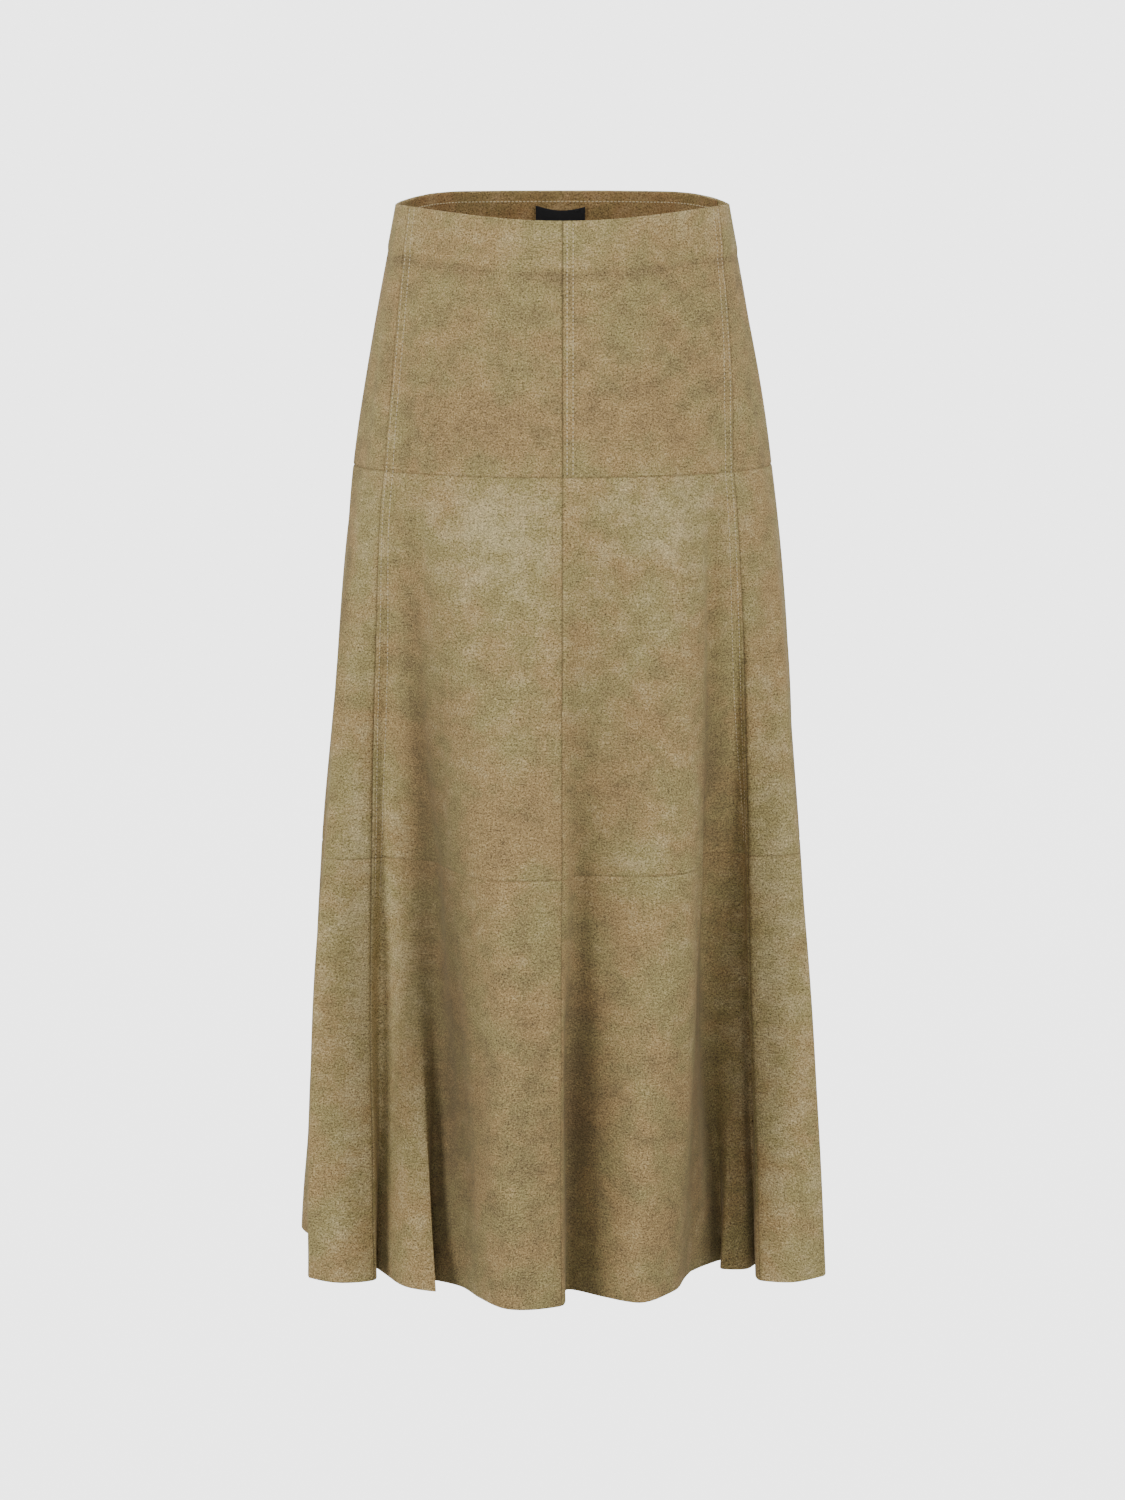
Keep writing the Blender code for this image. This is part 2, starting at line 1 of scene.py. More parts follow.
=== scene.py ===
"""Panelled A-line midi skirt in faux suede: its looks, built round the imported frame.

Metres, +Z up. The front faces -Y and the wearer's left is +X. The origin is the
centre of the waist opening. The cloth follows the same form as its solids: one
closed curve in plan at every height, bent round the crests of FOLDS. A position
counts those crests round the skirt, from the centre front to the wearer's left.
"""

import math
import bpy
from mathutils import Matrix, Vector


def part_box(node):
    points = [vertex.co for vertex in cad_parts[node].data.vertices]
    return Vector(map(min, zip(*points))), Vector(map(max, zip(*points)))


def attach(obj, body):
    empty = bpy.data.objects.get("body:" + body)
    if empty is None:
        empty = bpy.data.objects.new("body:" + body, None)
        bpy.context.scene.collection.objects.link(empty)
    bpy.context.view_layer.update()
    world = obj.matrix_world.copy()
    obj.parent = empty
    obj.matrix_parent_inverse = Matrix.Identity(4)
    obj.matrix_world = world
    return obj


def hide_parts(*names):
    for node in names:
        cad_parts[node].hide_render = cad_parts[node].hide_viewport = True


bl_info = {
    "name": "Faux Suede A-line Skirt",
    "version": (1, 0, 0),
    "blender": (4, 5, 0),
    "location": "3D View > Sidebar > Skirt",
    "description": "Makes a panelled A-line skirt with its creases, stitching, facing, label and zip",
    "category": "Object",
}

import bpy
import numpy as np
from bpy.props import (
    FloatProperty,
    FloatVectorProperty,
    PointerProperty,
)
from bpy.types import Operator, Panel, PropertyGroup

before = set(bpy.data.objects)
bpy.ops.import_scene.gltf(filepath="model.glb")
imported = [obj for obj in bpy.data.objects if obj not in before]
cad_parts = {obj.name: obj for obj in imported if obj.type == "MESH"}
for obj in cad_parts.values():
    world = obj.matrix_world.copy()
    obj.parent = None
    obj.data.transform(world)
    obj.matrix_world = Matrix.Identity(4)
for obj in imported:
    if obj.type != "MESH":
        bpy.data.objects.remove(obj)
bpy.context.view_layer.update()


# ---------------------------------------------------------------- the form

HIP_SEAM = -0.202
KNEE_SEAM = -0.507
HEM = -0.834
FRONT_DIP = 0.010
BACK_RISE = 0.008
SOFT_START = 1.4
FACING_DEPTH = 0.035

SECTIONS = (
    # height, half_width, front_depth, back_depth
    (0.012, 0.1268, 0.0865, 0.0905),
    (0.000, 0.1290, 0.0880, 0.0920),
    (-0.074, 0.1430, 0.0980, 0.1070),
    (-0.144, 0.1550, 0.1070, 0.1200),
    (-0.215, 0.1660, 0.1160, 0.1310),
    (-0.311, 0.1760, 0.1210, 0.1370),
    (-0.432, 0.1855, 0.1250, 0.1420),
    (-0.530, 0.1930, 0.1275, 0.1450),
    (-0.630, 0.2000, 0.1295, 0.1480),
    (-0.730, 0.2065, 0.1310, 0.1505),
    (-0.834, 0.2130, 0.1320, 0.1520),
)

FOLDS = (
    # name, hip_angle in degrees from the front, knee_x, knee_y, hem_x, hem_y, crispness
    ("centre_front_seam", 0.0, -0.0005, -0.1500, -0.0010, -0.1840, 0.5),
    ("centre_trough", 6.0, 0.0100, -0.1335, 0.0040, -0.1430, 0.0),
    ("left_centre_rise", 14.0, 0.0340, -0.1340, 0.0300, -0.1610, 0.0),
    ("left_centre_ridge", 26.0, 0.0680, -0.1350, 0.0600, -0.1780, 0.0),
    ("left_centre_edge", 34.0, 0.0980, -0.1225, 0.0870, -0.1460, 0.1),
    ("left_centre_turn", 39.0, 0.1070, -0.0980, 0.1010, -0.0980, 0.4),
    ("left_centre_trough", 42.3, 0.1160, -0.0480, 0.1310, -0.0670, 0.0),
    ("left_small_edge", 45.4, 0.1340, -0.0435, 0.1265, -0.0920, 0.3),
    ("left_small_back", 48.2, 0.1385, -0.0430, 0.1470, -0.0920, 0.1),
    ("left_small_trough", 51.0, 0.1430, -0.0430, 0.1545, -0.0770, 0.0),
    ("left_front_seam", 54.0, 0.1468, -0.0550, 0.1550, -0.1215, 0.3),
    ("left_side_face", 62.0, 0.1640, -0.0570, 0.1800, -0.1265, 0.0),
    ("left_side_edge", 74.0, 0.1870, -0.0480, 0.2066, -0.1100, 0.3),
    ("left_side_trough", 86.0, 0.1860, -0.0140, 0.1900, -0.0400, 0.0),
    ("left_side_seam", 96.0, 0.1910, 0.0140, 0.2125, 0.0150, 0.0),
    ("left_back_roll", 104.0, 0.1860, 0.0430, 0.2060, 0.0560, 0.0),
    ("left_back_trough", 113.0, 0.1630, 0.0620, 0.1650, 0.0760, 0.0),
    ("left_back_ridge", 121.0, 0.1570, 0.0900, 0.1640, 0.1180, 0.0),
    ("left_back_seam", 128.0, 0.1390, 0.1050, 0.1410, 0.1400, 0.3),
    ("left_back_inner_trough", 137.0, 0.1130, 0.1000, 0.1010, 0.1130, 0.0),
    ("left_back_inner_edge", 147.0, 0.0940, 0.1310, 0.0820, 0.1560, 0.0),
    ("left_back_inner_ridge", 159.0, 0.0610, 0.1500, 0.0500, 0.1760, 0.0),
    ("centre_back_trough", 170.0, 0.0280, 0.1370, 0.0200, 0.1400, 0.0),
    ("centre_back_seam", 180.0, -0.0020, 0.1450, -0.0060, 0.1500, 0.3),
    ("right_back_inner_ridge", 193.0, -0.0410, 0.1570, -0.0400, 0.1800, 0.0),
    ("right_back_inner_edge", 206.0, -0.0770, 0.1440, -0.0720, 0.1660, 0.0),
    ("right_back_inner_trough", 217.0, -0.1040, 0.1070, -0.0930, 0.1190, 0.0),
    ("right_back_ridge", 225.0, -0.1220, 0.1130, -0.1130, 0.1450, 0.0),
    ("right_back_seam", 232.0, -0.1440, 0.1060, -0.1400, 0.1390, 0.3),
    ("right_back_trough", 243.0, -0.1600, 0.0660, -0.1630, 0.0900, 0.0),
    ("right_back_roll", 254.0, -0.1830, 0.0500, -0.1990, 0.0760, 0.0),
    ("right_side_seam", 264.0, -0.1925, 0.0200, -0.2137, 0.0320, 0.0),
    ("right_side_trough", 273.5, -0.1850, -0.0230, -0.1890, -0.0500, 0.0),
    ("right_side_edge", 284.0, -0.1870, -0.0660, -0.2005, -0.1150, 0.4),
    ("right_side_face", 296.0, -0.1670, -0.0710, -0.1750, -0.1270, 0.0),
    ("right_front_seam", 303.5, -0.1500, -0.0670, -0.1490, -0.1200, 0.3),
    ("right_small_trough", 306.5, -0.1420, -0.0600, -0.1490, -0.0900, 0.0),
    ("right_small_face", 309.0, -0.1310, -0.0660, -0.1180, -0.1410, 0.0),
    ("right_small_edge", 311.5, -0.1190, -0.0710, -0.0986, -0.1490, 0.3),
    ("right_centre_trough", 315.0, -0.1040, -0.0760, -0.1090, -0.1180, 0.0),
    ("right_centre_turn", 318.5, -0.0900, -0.1020, -0.0800, -0.1360, 0.0),
    ("right_centre_edge", 323.5, -0.0740, -0.1320, -0.0650, -0.1640, 0.2),
    ("right_centre_ridge", 332.0, -0.0540, -0.1510, -0.0420, -0.1920, 0.0),
    ("right_centre_face", 350.0, -0.0240, -0.1530, -0.0140, -0.1900, 0.0),
)

SEAMS = (
    # fold, waist_angle in degrees
    ("centre_front_seam", 0.0),
    ("left_front_seam", 68.0),
    ("left_side_seam", 100.0),
    ("left_back_seam", 121.0),
    ("centre_back_seam", 180.0),
    ("right_back_seam", 239.0),
    ("right_side_seam", 260.0),
    ("right_front_seam", 294.0),
)

GORES = (
    "front_centre_left",
    "front_side_left",
    "back_side_left",
    "back_centre_left",
    "back_centre_right",
    "back_side_right",
    "front_side_right",
    "front_centre_right",
)

NAMES = [name for name, *_ in FOLDS]
COUNT = len(FOLDS)
HIP_ANGLE = np.radians([angle for _, angle, *_ in FOLDS])
KNEE_PLACE = np.array([(x, y) for _, _, x, y, *_ in FOLDS])
HEM_PLACE = np.array([(x, y) for *_, x, y, _ in FOLDS])
CRISP = np.array([crisp for *_, crisp in FOLDS])
WAIST_ANGLE = np.interp(
    HIP_ANGLE,
    [HIP_ANGLE[NAMES.index(fold)] for fold, _ in SEAMS] + [2 * math.pi],
    np.radians([angle for _, angle in SEAMS] + [360.0]),
)


def section(column, height):
    """One size of the oval at a height, on a smooth curve through the rows of SECTIONS."""
    rows = np.array(SECTIONS)[::-1]
    heights, sizes = rows[:, 0], rows[:, column]
    slopes = np.gradient(sizes, heights)
    low = np.clip(np.searchsorted(heights, height) - 1, 0, len(rows) - 2)
    step = heights[low + 1] - heights[low]
    t = (height - heights[low]) / step
    return (
        sizes[low] * (1 + 2 * t) * (1 - t) ** 2
        + slopes[low] * step * t * (1 - t) ** 2
        + sizes[low + 1] * t * t * (3 - 2 * t)
        + slopes[low + 1] * step * t * t * (t - 1)
    )


def oval(angle, height):
    """Plan place on the plain oval, without folds."""
    across, along = np.sin(angle), -np.cos(angle)
    depth = np.where(along < 0, section(2, height), section(3, height))
    return np.stack([section(1, height) * across, depth * along], axis=-1)


def crest(fold, height):
    """Plan place of the crest of a fold at a height: off the oval, through knee and hem."""
    above = np.clip((height - HIP_SEAM) / -HIP_SEAM, 0, 1.1)
    below = np.clip((HIP_SEAM - height) / (HIP_SEAM - HEM), 0, 1)
    angle = HIP_ANGLE[fold] + (WAIST_ANGLE[fold] - HIP_ANGLE[fold]) * above
    knee_share = (HIP_SEAM - KNEE_SEAM) / (HIP_SEAM - HEM)
    rise = (below / knee_share) ** SOFT_START / (1 - knee_share)
    at_knee = (rise * (1 - below))[..., None]
    at_hem = (rise * knee_share**SOFT_START * (below - knee_share))[..., None]
    off_knee = KNEE_PLACE[fold] - oval(HIP_ANGLE[fold], np.full_like(height, KNEE_SEAM))
    off_hem = HEM_PLACE[fold] - oval(HIP_ANGLE[fold], np.full_like(height, HEM))
    return oval(angle, height) + off_knee * at_knee + off_hem * at_hem


def surface(position, height):
    """Points on the middle of the cloth, on a smooth curve through the crests."""
    position, height = np.broadcast_arrays(np.asarray(position, float), height)
    fold = np.floor(position).astype(int)
    t = (position - fold)[..., None]
    before, start, end, after = (
        crest((fold + step) % COUNT, height) for step in (-1, 0, 1, 2)
    )
    steps = [start - before, end - start, after - end]
    lengths = [np.linalg.norm(step, axis=-1, keepdims=True) for step in steps]
    ways = [step / length for step, length in zip(steps, lengths, strict=True)]
    tangents = []
    for side, here in ((0, fold), (1, fold + 1)):
        whole = lengths[side] + lengths[side + 1]
        smooth = (
            ways[side] * lengths[side + 1] + ways[side + 1] * lengths[side]
        ) / whole
        crisp = CRISP[here % COUNT][..., None]
        tangents.append(((1 - crisp) * smooth + crisp * ways[1]) * lengths[1])
    plan = (
        start * (1 + 2 * t) * (1 - t) ** 2
        + tangents[0] * t * (1 - t) ** 2
        + end * t * t * (3 - 2 * t)
        + tangents[1] * t * t * (t - 1)
    )
    return np.concatenate([plan, height[..., None]], axis=-1)


def rim(position):
    """Height of the waist edge."""
    position = np.asarray(position, float) % COUNT
    fold = np.floor(position).astype(int)
    ahead = np.append(WAIST_ANGLE, 2 * math.pi)
    angle = ahead[fold] + (ahead[fold + 1] - ahead[fold]) * (position - fold)
    front = np.clip(np.cos(angle), 0, 1)
    back = np.clip(-np.cos(angle) / 0.8, 0, 1)
    return -FRONT_DIP * front**3 + BACK_RISE * back * back * (3 - 2 * back)


def outward(position, height):
    """Unit normals out of the cloth."""
    along = surface(position + 0.02, height) - surface(position - 0.02, height)
    upward = surface(position, height + 0.001) - surface(position, height - 0.001)
    normal = np.cross(along, upward)
    return normal / np.linalg.norm(normal, axis=-1, keepdims=True)


# ------------------------------------------------- the way round the cloth

GIRTH_STEPS = 16  # to each fold
GIRTH_HEIGHTS = np.linspace(HEM - 0.002, 0.012, 107)


def measured_girths():
    """The way round from the centre front, at every height of GIRTH_HEIGHTS."""
    positions = np.linspace(0, COUNT, COUNT * GIRTH_STEPS + 1)
    plan = surface(positions, GIRTH_HEIGHTS[:, None])[..., :2]
    steps = np.linalg.norm(np.diff(plan, axis=1), axis=-1)
    start = np.zeros((len(GIRTH_HEIGHTS), 1))
    return np.concatenate([start, np.cumsum(steps, axis=1)], axis=1)


GIRTHS = measured_girths()


def row_under(height):
    """The row of GIRTH_HEIGHTS under a height, and how far above it that is in rows."""
    up = (height - GIRTH_HEIGHTS[0]) / (GIRTH_HEIGHTS[1] - GIRTH_HEIGHTS[0])
    row = np.clip(np.floor(up).astype(int), 0, len(GIRTH_HEIGHTS) - 2)
    return row, up - row


def girth(position, height):
    """The way round the cloth from the centre front seam to a position."""
    position, height = np.broadcast_arrays(np.asarray(position, float), height)
    turns, position = np.divmod(position, COUNT)
    row, above = row_under(height)
    column = np.floor(position * GIRTH_STEPS).astype(int)
    right = position * GIRTH_STEPS - column
    low = GIRTHS[row, column] * (1 - right) + GIRTHS[row, column + 1] * right
    high = GIRTHS[row + 1, column] * (1 - right) + GIRTHS[row + 1, column + 1] * right
    whole = GIRTHS[row, -1] * (1 - above) + GIRTHS[row + 1, -1] * above
    return low * (1 - above) + high * above + turns * whole


def way_between(position, height, other):
    """Signed distance round the cloth from another position, the short way."""
    whole = girth(float(COUNT), height)
    way = girth(position, height) - girth(other, height)
    return (way + whole / 2) % whole - whole / 2


HOLLOW_REACH = 0.060  # how far along the cloth a crest shades the hollow beside it
HOLLOW_STEP = 0.004


def highest_near(level, reach):
    """The highest level within a reach on each side, rounded off where it changes."""
    highest = np.max([np.roll(level, step) for step in range(-reach, reach + 1)], axis=0)
    half = range(-reach // 2, reach // 2 + 1)
    return np.mean([np.roll(highest, step) for step in half], axis=0)


def measured_hollows():
    """How far the cloth lies in from the crests beside it, on the grid of GIRTHS."""
    positions = np.linspace(0, COUNT, COUNT * GIRTH_STEPS + 1)
    plan = surface(positions, GIRTH_HEIGHTS[:, None])[..., :2]
    out = np.linalg.norm(plan, axis=-1)
    ways, depths = plan / out[..., None], np.empty_like(out)
    reach = round(HOLLOW_REACH / HOLLOW_STEP)
    for row, height in enumerate(GIRTH_HEIGHTS):
        front_or_back = np.where(ways[row, :, 1] < 0, section(2, height), section(3, height))
        round_it = np.hypot(ways[row, :, 0] / section(1, height), ways[row, :, 1] / front_or_back)
        share = out[row] * round_it
        count = round(GIRTHS[row, -1] / HOLLOW_STEP)
        even = np.linspace(0, GIRTHS[row, -1], count, endpoint=False)
        highest = highest_near(np.interp(even, GIRTHS[row], share), reach)
        crests = np.interp(GIRTHS[row], even, highest, period=GIRTHS[row, -1])
        depths[row] = (crests - share) / round_it
    return np.clip(depths, 0, None)


HOLLOWS = measured_hollows()


def hollow(position, height):
    """How far the cloth lies in from the crests beside it, in metres."""
    column = np.round(position % COUNT * GIRTH_STEPS).astype(int)
    row, above = row_under(height)
    return HOLLOWS[row, column] * (1 - above) + HOLLOWS[row + 1, column] * above


def positions_at(targets, heights_of, low, high):
    """Positions where the way round reaches its targets, one row at a time."""
    ruler = np.linspace(low, high, round((high - low) * GIRTH_STEPS) + 1)
    marks = girth(ruler, heights_of(ruler))
    found = [np.interp(t, m, ruler) for t, m in zip(targets, marks, strict=True)]
    return np.array(found)


def fold_at(fold, share=0.0):
    """A position: a fold's crest, or a share of the way on to the next one."""
    return NAMES.index(fold) + share


def fade(distance, reach):
    """1 at no distance, falling softly to 0 at the reach."""
    share = np.clip(np.abs(distance) / reach, 0, 1)
    return 1 - share * share * (3 - 2 * share)


# ------------------------------------------------------ creases and seams

CREASES = (
    # name, rise (below 0 for a trough), width, then (height, fold, share) down its length
    ("right_hip_crease", -0.0026, 0.0065,
     (-0.085, "right_small_face", 0.5), (-0.105, "right_small_face", 0.75),
     (-0.182, "right_small_edge", 0.88), (-0.222, "right_centre_trough", 0.62),
     (-0.270, "right_centre_trough", 0.96), (-0.320, "right_centre_turn", 0.25)),
    ("right_hip_crease_shoulder", 0.0012, 0.0080,
     (-0.110, "right_small_edge", 0.5), (-0.182, "right_centre_trough", 0.85),
     (-0.240, "right_centre_turn", 0.55), (-0.300, "right_centre_turn", 0.9)),
    ("centre_front_hollow", -0.0010, 0.0075,
     (-0.205, "right_centre_face", 0.70), (-0.260, "right_centre_face", 0.74),
     (-0.350, "right_centre_face", 0.72)),
    ("right_princess_hollow", -0.0018, 0.0070,
     (-0.255, "right_small_trough", 0.1), (-0.330, "right_small_trough", 0.2),
     (-0.460, "right_small_trough", 0.3)),
    ("right_side_streak", 0.0016, 0.0060,
     (-0.200, "right_side_edge", 0.55), (-0.270, "right_side_edge", 0.9),
     (-0.370, "right_side_face", 0.4)),
    ("right_side_shade", -0.0016, 0.0090,
     (-0.230, "right_side_face", 0.35), (-0.330, "right_side_face", 0.75),
     (-0.500, "right_side_face", 0.75)),
    ("left_edge_line", 0.0012, 0.0035,
     (-0.300, "left_centre_turn", 0.5), (-0.450, "left_centre_turn", 0.1),
     (-0.611, "left_centre_edge", 0.83), (-0.700, "left_centre_edge", 0.8)),
    ("left_front_drag", -0.0012, 0.0120,
     (-0.060, "left_centre_ridge", 0.2), (-0.130, "left_centre_ridge", 0.7),
     (-0.240, "left_centre_edge", 0.6), (-0.340, "left_centre_edge", 0.9)),
    ("left_princess_hollow", -0.0014, 0.0060,
     (-0.150, "left_small_trough", 0.2), (-0.260, "left_small_trough", 0.3),
     (-0.420, "left_small_trough", 0.2)),
    ("left_side_ripple", -0.0013, 0.0100,
     (-0.300, "left_side_face", 0.5), (-0.450, "left_side_face", 0.75), (-0.640, "left_side_face", 0.6)),
    ("right_front_ripple", 0.0011, 0.0140,
     (-0.330, "right_centre_ridge", 0.35), (-0.480, "right_centre_ridge", 0.25),
     (-0.660, "right_centre_ridge", 0.35)),
    ("right_front_dent", -0.0012, 0.0130,
     (-0.400, "right_centre_ridge", 0.75), (-0.560, "right_centre_ridge", 0.8),
     (-0.780, "right_centre_ridge", 0.7)),
    ("left_front_ripple", -0.0011, 0.0120,
     (-0.380, "left_centre_rise", 0.5), (-0.520, "left_centre_rise", 0.6),
     (-0.720, "left_centre_rise", 0.3)),
    ("left_front_lower_ripple", 0.0010, 0.0090,
     (-0.560, "left_centre_ridge", 0.4), (-0.680, "left_centre_ridge", 0.5),
     (-0.820, "left_centre_ridge", 0.4)),
    ("back_seat_drag", -0.0020, 0.0110,
     (-0.090, "right_back_inner_edge", 0.2), (-0.180, "right_back_inner_edge", 0.7),
     (-0.290, "right_back_inner_trough", 0.1)),
    ("back_left_drag", -0.0016, 0.0090,
     (-0.120, "left_back_inner_edge", 0.7), (-0.200, "left_back_inner_edge", 0.3),
     (-0.310, "left_back_inner_trough", 0.8)),
    ("centre_back_hollow", -0.0010, 0.0080,
     (-0.190, "centre_back_trough", 0.75), (-0.280, "centre_back_trough", 0.7),
     (-0.390, "centre_back_trough", 0.8)),
    ("back_right_ripple", 0.0012, 0.0130,
     (-0.340, "right_back_inner_ridge", 0.5), (-0.500, "right_back_inner_ridge", 0.4),
     (-0.700, "right_back_inner_ridge", 0.6)),
    ("back_left_ripple", -0.0013, 0.0100,
     (-0.420, "left_back_inner_ridge", 0.4), (-0.560, "left_back_inner_ridge", 0.3),
     (-0.760, "left_back_inner_ridge", 0.5)),
    ("left_hip_crease", -0.0020, 0.0070,
     (-0.110, "left_back_roll", 0.4), (-0.190, "left_back_roll", 0.6),
     (-0.330, "left_back_trough", 0.0)),
    ("right_hip_back_crease", -0.0017, 0.0080,
     (-0.150, "right_back_roll", 0.1), (-0.230, "right_back_trough", 0.8),
     (-0.350, "right_back_trough", 0.5)),
)

SWELLS = (
    # rise, waves round the skirt, waves down a metre, phase
    (0.0007, 7, 2.1, 0.4),
    (0.0005, 11, -3.4, 1.9),
    (0.00035, 19, 4.7, 3.1),
    (0.00030, 31, -2.3, 5.0),
    (0.00020, 47, 6.1, 0.9),
)

TOPSTITCHING = (
    # seam, side of it (1 towards the wearer's left at the front), rows off it, lowest height
    ("centre_front_seam", 1, (0.0035, 0.0080), HIP_SEAM),
    ("right_front_seam", 1, (0.0035, 0.0095), -0.540),
    ("left_front_seam", -1, (0.0035, 0.0095), -0.500),
    ("left_back_seam", 1, (0.0035, 0.0095), -0.520),
    ("right_back_seam", -1, (0.0035, 0.0095), -0.530),
    ("centre_back_seam", 1, (0.0035, 0.0080), HIP_SEAM),
)
RIDGE_HEM = 0.0025  # how far a topstitched ridge runs past its outer row
RIDGE_RISE = 0.00045
FURROW_DEPTH = 0.00030  # the nap pressed down under each row
FURROW_WIDTH = 0.0007
PUCKER_RISE = 0.00012
PUCKER_WAVE = 0.0123
PUCKER_REACH = 0.016


def crease_relief(position, height):
    """How far the creases lift the cloth."""
    lift = np.zeros(np.broadcast(position, height).shape)
    for _, rise, width, *route in CREASES:
        heights = np.array([spot[0] for spot in route])[::-1]
        places = np.array([fold_at(fold, share) for _, fold, share in route])[::-1]
        inside = (height > heights[0]) & (height < heights[-1])
        if not inside.any():
            continue
        along = np.clip((height - heights[0]) / (heights[-1] - heights[0]), 0, 1)
        ends = fade(np.minimum(along, 1 - along) * 2 - 1, 1.0)
        way = way_between(position, height, np.interp(height, heights, places))
        lift += rise * ends * np.exp(-((way / width) ** 2)) * inside
    return lift


def swell_relief(position, height):
    """The slow unevenness of hanging cloth, fading out towards the waist edge."""
    turn = 2 * math.pi * girth(position, height) / girth(float(COUNT), height)
    lift = sum(
        rise * np.sin(waves * turn + 2 * math.pi * down * height + phase)
        for rise, waves, down, phase in SWELLS
    )
    return lift * (0.25 + 0.75 * np.clip(-height / 0.16, 0, 1))


def stitch_relief(position, height):
    """Raised bands under the topstitching, and the slight pucker that it draws up."""
    lift = np.zeros(np.broadcast(position, height).shape)
    for seam, side, rows, lowest in TOPSTITCHING:
        way = side * way_between(position, height, fold_at(seam))
        edge = rows[-1] + RIDGE_HEM
        band = fade(way - edge / 2, edge / 2 + 0.0015) ** 0.5 * (way > 0)
        end = np.clip((height - lowest) / 0.010 + 0.5, 0, 1)
        lift += RIDGE_RISE * band * end
        furrows = sum(np.exp(-(((way - row) / FURROW_WIDTH) ** 2)) for row in rows)
        lift -= FURROW_DEPTH * furrows * end
        waves = np.sin(2 * math.pi * height / PUCKER_WAVE + 3 * np.sin(height * 61))
        lift += PUCKER_RISE * waves * fade(way, PUCKER_REACH) * end
    return lift


LEDGE_RISE = 0.0009
LEDGE_SLOPE = 0.004  # over how much of the drop the step comes down


def ledge_relief(position, height):
    """The step that the facing's lower edge presses through the cloth."""
    drop = rim(position) - height
    turn = 2 * math.pi * girth(position, height) / girth(float(COUNT), height)
    uneven = 0.0010 * np.sin(5 * turn + 1.0) + 0.0007 * np.sin(13 * turn)
    below = np.clip((drop - FACING_DEPTH - uneven) / LEDGE_SLOPE + 0.5, 0, 1)
    return LEDGE_RISE * (1 - below)


def relief(position, height):
    """How far the whole cloth stands off its plain form."""
    return crease_relief(position, height) + swell_relief(position, height)


# ------------------------------------------------------- the cloth's tones, painted light and shade

# Soft patches: some are the nap's own mottle and marks, some painted shade that darkens troughs, some
# painted light that lifts the dark of deep folds
TONES_AND_PAINTED_SHADING = (
    # fold, share, height, half_width, half_height, lighter, warmer
    # painted light: lifts the dark fold beside the right front seam
    ("right_front_seam", 0.30, -0.650, 0.024, 0.160, 2.0, 0.0),
    ("left_small_back", 0.50, -0.650, 0.016, 0.150, 1.0, 0.0),
    ("right_centre_ridge", 0.45, -0.245, 0.042, 0.045, 1.5, -0.5),
    ("left_centre_ridge", 0.50, -0.235, 0.040, 0.045, 1.1, -0.3),
    ("right_centre_ridge", 0.30, -0.165, 0.055, 0.022, -0.6, 0.6),
    ("left_centre_rise", 0.60, -0.150, 0.050, 0.035, -0.2, 0.6),
    ("left_side_face", 0.21, -0.149, 0.004, 0.005, -1.6, 0.3),
    ("right_centre_ridge", 0.60, -0.460, 0.050, 0.035, -0.4, 0.6),
    ("right_centre_ridge", 0.50, -0.700, 0.070, 0.140, -0.9, 0.0),
    ("left_centre_rise", 0.60, -0.720, 0.060, 0.140, -0.6, 0.1),
    ("left_front_seam", 0.60, -0.650, 0.012, 0.150, 0.8, 0.0),
    ("right_side_trough", 0.95, -0.280, 0.012, 0.090, -1.2, 0.2),
    ("right_side_face", 0.20, -0.500, 0.016, 0.070, 0.7, -0.3),
    ("left_side_face", 0.40, -0.560, 0.025, 0.240, 0.6, -0.2),
    ("right_small_edge", 0.00, -0.680, 0.015, 0.130, 0.6, -0.1),
    # painted shade: this row and the next four darken the troughs between the front folds
    ("left_centre_trough", 0.00, -0.430, 0.022, 0.090, -1.1, 0.0),
    ("right_small_edge", 0.50, -0.370, 0.018, 0.100, -1.0, 0.1),
    ("right_centre_trough", 0.60, -0.680, 0.016, 0.130, -1.3, 0.0),
    ("left_centre_turn", 0.60, -0.680, 0.016, 0.130, -1.1, 0.0),
    ("centre_trough", 0.30, -0.680, 0.014, 0.130, -0.9, 0.0),
    ("left_centre_rise", 0.30, -0.430, 0.040, 0.050, -0.5, 0.2),
    ("left_centre_rise", 0.80, -0.490, 0.020, 0.020, 0.7, -0.2),
    ("right_side_face", 0.20, -0.260, 0.016, 0.060, 0.5, -0.5),
    ("left_side_face", 0.60, -0.300, 0.020, 0.080, -0.2, 0.6),
    ("right_back_inner_ridge", 0.50, -0.250, 0.050, 0.035, 0.6, -0.3),
    ("left_back_inner_ridge", 0.40, -0.160, 0.055, 0.030, -0.5, 0.5),
    ("left_back_inner_ridge", 0.60, -0.300, 0.040, 0.050, 0.5, -0.4),
    ("right_back_inner_edge", 0.40, -0.470, 0.050, 0.040, -0.4, 0.6),
    ("left_back_seam", 0.40, -0.420, 0.030, 0.070, -0.3, 0.3),
)


BAND_TONE = 0.75  # how much lighter the cloth is coloured over the facing
LEDGE_SHADE = 1.1  # and painted shade, how much darker just below its ledge
UPPER_TIER_SHADE = 0.45  # its nap is brushed a little darker, so the hip seam shows
FULL_SHADE_DEPTH = 0.042  # depth of a hollow at which its painted shade is darkest
HEM_EASE = 0.35  # how much of a hollow's painted shade is taken off at the hem
HEM_EASE_FROM = -0.70

SHALLOW_FOLDS = (
    # fold, share, half_width, how much of the painted shade is taken off there
    ("right_front_seam", 0.60, 0.030, 1.0),
    ("left_small_edge", 0.40, 0.034, 0.6),
    ("left_front_seam", 0.00, 0.016, 0.6),
)


